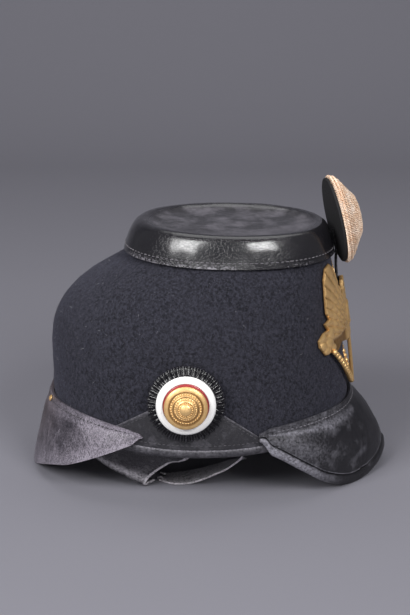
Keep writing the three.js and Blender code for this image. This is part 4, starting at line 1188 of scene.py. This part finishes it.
def build_sweatband():
    """The two loose ends of the leather sweatband below the rim."""
    leather = leather_finish("Sweatband leather", tint(36, 34, 39), tint(186, 182, 188), 0.2, 0.6)
    flap = spline(np.swapaxes(spline(FLAP, 22), 0, 1), 14)
    normals = grid_normals(flap)
    normals *= np.sign((normals * [0, -1, 0.2]).sum())
    flap = flap + normals * (ripple(flap, 12, 0.9) + ripple(flap, 4, 0.2, 2.0))[..., None]
    lower = flap - normals * THIN_LEATHER
    flap[..., 2], lower[..., 2] = np.maximum(flap[..., 2], 0.9), np.maximum(lower[..., 2], 0.3)
    across = np.linspace(0, 5, flap.shape[0])[:, None]
    # Painted highlight: a pale band along the fold, over a slight even wear. The cut end and the upper edge
    # are palest.
    wear = 0.12 + 0.7 * np.exp(-((across - 3.4) / 0.3) ** 2) * np.ones(flap.shape[:2])
    wear[:, :3] = 1.3
    wear[:1] = 1.0
    piece = sheet("sweatband_folded_end", flap, lower, {"wear": wear})
    finish_piece(piece, "sweatband_leather", leather, "sweatband_flap")

    edges = np.array(STRIP, float)
    share = np.linspace(0, 1, 16)[None, :, None]
    rows = spline(edges[:, 0], 14)[:, None] * (1 - share) + spline(edges[:, 1], 14)[:, None] * share
    ragged = 2.2 * np.sin(share[0, :, 0] * 9.0) + 1.0 * np.sin(share[0, :, 0] * 23.0)
    fade = np.clip(1 - np.arange(len(rows)) / 14, 0, 1)[:, None]
    rows[..., 0] += np.maximum(ragged, -1.5)[None, :] * fade
    rows[..., 2] += 1.4 * np.sin(share[0, :, 0] * 7.0)[None, :] * fade ** 2
    normals = grid_normals(rows)
    normals *= np.sign(normals[..., 2].sum())
    rows = rows + normals * ripple(rows, 9, 0.5)[..., None]
    lower = rows - normals * THIN_LEATHER
    rows[..., 2], lower[..., 2] = np.maximum(rows[..., 2], 0.9), np.maximum(lower[..., 2], 0.2)
    # The strip is paler overall than the folded end, and palest at its torn end and along its near edge.
    wear = np.full(rows.shape[:2], 0.55)
    wear[:3], wear[:, :1], wear[:, 2:3] = 1.3, 1.3, 1.0
    piece = sheet("sweatband_torn_end", rows, lower, {"wear": wear})
    finish_piece(piece, "sweatband_leather", leather, "sweatband_strip")


# ---- Small metal pieces ----------------------------------------------------------------------------------

def build_metal(settings):
    """Finishes for the stud on the neck guard and for the wire behind the badge."""
    for node, finish in (("guard_stud", gilt_finish(settings)), ("badge_prong", steel_finish())):
        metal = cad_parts[node]
        metal.data.materials.clear()
        metal.data.materials.append(finish)


# ---- Stage -----------------------------------------------------------------------------------------------

# The lights by name, place, size in metres and share of the key light's power, all aimed at one point.
LIT_POINT = (0, 0, 0.1)
LIGHTS = [
    ("soft_left", (-0.9, -1.0, 1.05), (0.8, 0.8), 1.0), ("soft_right", (0.72, -1.2, 1.1), (0.6, 0.65), 0.75),
    ("low_front", (-0.2, -1.5, 0.25), (1.2, 0.3), 0.12), ("overhead", (0.1, 0.4, 1.7), (1.6, 1.2), 0.35),
]
WORLD_COLOUR, WORLD_STRENGTH = (0.92, 0.92, 1.0, 1), 0.14
CAMERA_AIM, CAMERA_DISTANCE, CAMERA_ELEVATION = (-0.0038, 0.0, 0.1111), 1.1, 17
CAMERA_LENS, CAMERA_SENSOR = 91.96, 36.0


def area_light(name, place, aim, size, power):
    data = bpy.data.lights.new(name, "AREA")
    data.shape = "RECTANGLE"
    data.size, data.size_y = size
    data.energy = power
    light = bpy.data.objects.new(name, data)
    light.location = place
    light.rotation_euler = (Vector(aim) - Vector(place)).to_track_quat("-Z", "Y").to_euler()
    bpy.context.scene.collection.objects.link(light)


def build_stage(settings):
    """A pale floor that curves up behind the hat, soft lights and the camera."""
    near, far, bend, high, half_width = -2.2, 1.0, 0.6, 2.6, 2.6
    turn = np.linspace(0, np.pi / 2, 16)[1:]
    curve = [(far + bend * math.sin(a), bend - bend * math.cos(a)) for a in turn]
    profile = [(near, 0.0), (far, 0.0), *curve, (far + bend, high)]
    across = np.linspace(-half_width, half_width, 9)
    points = [(x, y, z) for y, z in profile for x in across]
    mesh = bpy.data.meshes.new("floor")
    mesh.from_pydata(points, [], [f[::-1] for f in skin_faces(len(profile), len(across), False, False)])
    mesh.shade_smooth()
    mesh.materials.append(backdrop_finish(settings))
    floor = bpy.data.objects.new("floor", mesh)
    bpy.context.scene.collection.objects.link(floor)

    for name, place, size, share in LIGHTS:
        area_light(name, place, LIT_POINT, size, settings.key_power * share)
    world = bpy.data.worlds.new("Studio")
    world.use_nodes = True
    world.node_tree.nodes["Background"].inputs["Color"].default_value = WORLD_COLOUR
    world.node_tree.nodes["Background"].inputs["Strength"].default_value = WORLD_STRENGTH
    bpy.context.scene.world = world
    bpy.context.scene.view_settings.view_transform = "Standard"

    elevation = math.radians(CAMERA_ELEVATION)
    data = bpy.data.cameras.new("camera")
    data.lens, data.sensor_width = CAMERA_LENS, CAMERA_SENSOR
    camera = bpy.data.objects.new("camera", data)
    camera.location = Vector(CAMERA_AIM) + Vector((0, -math.cos(elevation),
                                                   math.sin(elevation))) * CAMERA_DISTANCE
    camera.rotation_euler = (math.pi / 2 - elevation, 0, 0)
    bpy.context.scene.collection.objects.link(camera)
    bpy.context.scene.camera = camera


# ---- Add-on -----------------------------------------------------------------------------------------------

class ShakoSettings(bpy.types.PropertyGroup):
    """Sizes and colours that a user may change."""

    felt_colour: bpy.props.FloatVectorProperty(
        name="Felt", description="Colour of the felt", subtype="COLOR", min=0, max=1,
        default=tint(34, 34, 41))
    leather_colour: bpy.props.FloatVectorProperty(
        name="Leather", description="Colour of the black leather", subtype="COLOR", min=0, max=1,
        default=tint(24, 23, 27))
    gilt_colour: bpy.props.FloatVectorProperty(
        name="Gilding", description="Colour of the gilt plate and bosses", subtype="COLOR", min=0, max=1,
        default=tint(240, 198, 136))
    bullion_colour: bpy.props.FloatVectorProperty(
        name="Metal thread", description="Colour of the badge's embroidery", subtype="COLOR", min=0, max=1,
        default=tint(250, 232, 208))
    white_colour: bpy.props.FloatVectorProperty(
        name="White ring", description="Colour of the cockade's white ring", subtype="COLOR", min=0, max=1,
        default=tint(246, 245, 243))
    red_colour: bpy.props.FloatVectorProperty(
        name="Red ring", description="Colour of the cockade's red ring", subtype="COLOR", min=0, max=1,
        default=tint(165, 38, 44))
    floor_colour: bpy.props.FloatVectorProperty(
        name="Floor", description="Colour of the floor and backdrop", subtype="COLOR", min=0, max=1,
        default=tint(126, 125, 133))
    nap_density: bpy.props.FloatProperty(
        name="Nap", description="Fibres on each square metre of felt", min=0, default=260000)
    pleats: bpy.props.IntProperty(
        name="Pleats", description="Pleats round each cockade", min=8, max=80, default=40)
    key_power: bpy.props.FloatProperty(
        name="Light", description="Power of each soft light", unit="POWER", min=0, default=24)


class SHAKO_OT_felt(bpy.types.Operator):
    """Build the hollow felt body with its nap and lint"""
    bl_idname = "shako.felt"
    bl_label = "Felt body"

    def execute(self, context):
        build_felt(context.scene.shako)
        return {"FINISHED"}


class SHAKO_OT_top(bpy.types.Operator):
    """Build the lacquered leather top with its stitches"""
    bl_idname = "shako.top"
    bl_label = "Leather top"

    def execute(self, context):
        build_top(context.scene.shako)
        return {"FINISHED"}


class SHAKO_OT_rim(bpy.types.Operator):
    """Build the rim's binding and the gussets"""
    bl_idname = "shako.rim"
    bl_label = "Rim and gussets"

    def execute(self, context):
        build_rim()
        return {"FINISHED"}


class SHAKO_OT_peak(bpy.types.Operator):
    """Build the front peak and its rolled border"""
    bl_idname = "shako.peak"
    bl_label = "Peak"

    def execute(self, context):
        build_peak(context.scene.shako)
        return {"FINISHED"}


class SHAKO_OT_guard(bpy.types.Operator):
    """Build the neck guard"""
    bl_idname = "shako.guard"
    bl_label = "Neck guard"

    def execute(self, context):
        build_guard()
        return {"FINISHED"}


class SHAKO_OT_cockades(bpy.types.Operator):
    """Build the cockades on both sides"""
    bl_idname = "shako.cockades"
    bl_label = "Cockades"

    def execute(self, context):
        build_cockades(context.scene.shako)
        return {"FINISHED"}


class SHAKO_OT_plate(bpy.types.Operator):
    """Build the gilt front plate"""
    bl_idname = "shako.plate"
    bl_label = "Front plate"

    def execute(self, context):
        build_plate(context.scene.shako)
        return {"FINISHED"}


class SHAKO_OT_badge(bpy.types.Operator):
    """Build the embroidered field badge"""
    bl_idname = "shako.badge"
    bl_label = "Field badge"

    def execute(self, context):
        build_badge(context.scene.shako)
        return {"FINISHED"}


class SHAKO_OT_sweatband(bpy.types.Operator):
    """Build the loose ends of the sweatband"""
    bl_idname = "shako.sweatband"
    bl_label = "Sweatband"

    def execute(self, context):
        build_sweatband()
        return {"FINISHED"}


class SHAKO_OT_metal(bpy.types.Operator):
    """Finish the small stud and the wire"""
    bl_idname = "shako.metal"
    bl_label = "Stud and wire"

    def execute(self, context):
        build_metal(context.scene.shako)
        return {"FINISHED"}


class SHAKO_OT_stage(bpy.types.Operator):
    """Build the floor, the lights and the camera"""
    bl_idname = "shako.stage"
    bl_label = "Stage"

    def execute(self, context):
        build_stage(context.scene.shako)
        return {"FINISHED"}


OPERATORS = (SHAKO_OT_felt, SHAKO_OT_top, SHAKO_OT_rim, SHAKO_OT_peak, SHAKO_OT_guard, SHAKO_OT_cockades,
             SHAKO_OT_plate, SHAKO_OT_badge, SHAKO_OT_sweatband, SHAKO_OT_metal, SHAKO_OT_stage)


class SHAKO_PT_panel(bpy.types.Panel):
    """Lists the hat's sizes, colours and groups of pieces"""
    bl_idname = "SHAKO_PT_panel"
    bl_label = "Shako"
    bl_space_type = "VIEW_3D"
    bl_region_type = "UI"
    bl_category = "Shako"

    def draw(self, context):
        settings = context.scene.shako
        for name in ShakoSettings.__annotations__:
            self.layout.prop(settings, name)
        for operator in OPERATORS:
            self.layout.operator(operator.bl_idname)


CLASSES = (ShakoSettings, *OPERATORS, SHAKO_PT_panel)


def register():
    for cls in CLASSES:
        bpy.utils.register_class(cls)
    bpy.types.Scene.shako = bpy.props.PointerProperty(type=ShakoSettings)


def unregister():
    del bpy.types.Scene.shako
    for cls in reversed(CLASSES):
        bpy.utils.unregister_class(cls)


def main():
    register()
    bpy.ops.shako.stage()
    bpy.ops.shako.felt()
    bpy.ops.shako.top()
    bpy.ops.shako.rim()
    bpy.ops.shako.peak()
    bpy.ops.shako.guard()
    bpy.ops.shako.cockades()
    bpy.ops.shako.plate()
    bpy.ops.shako.badge()
    bpy.ops.shako.sweatband()
    bpy.ops.shako.metal()


if __name__ == "__main__":
    main()
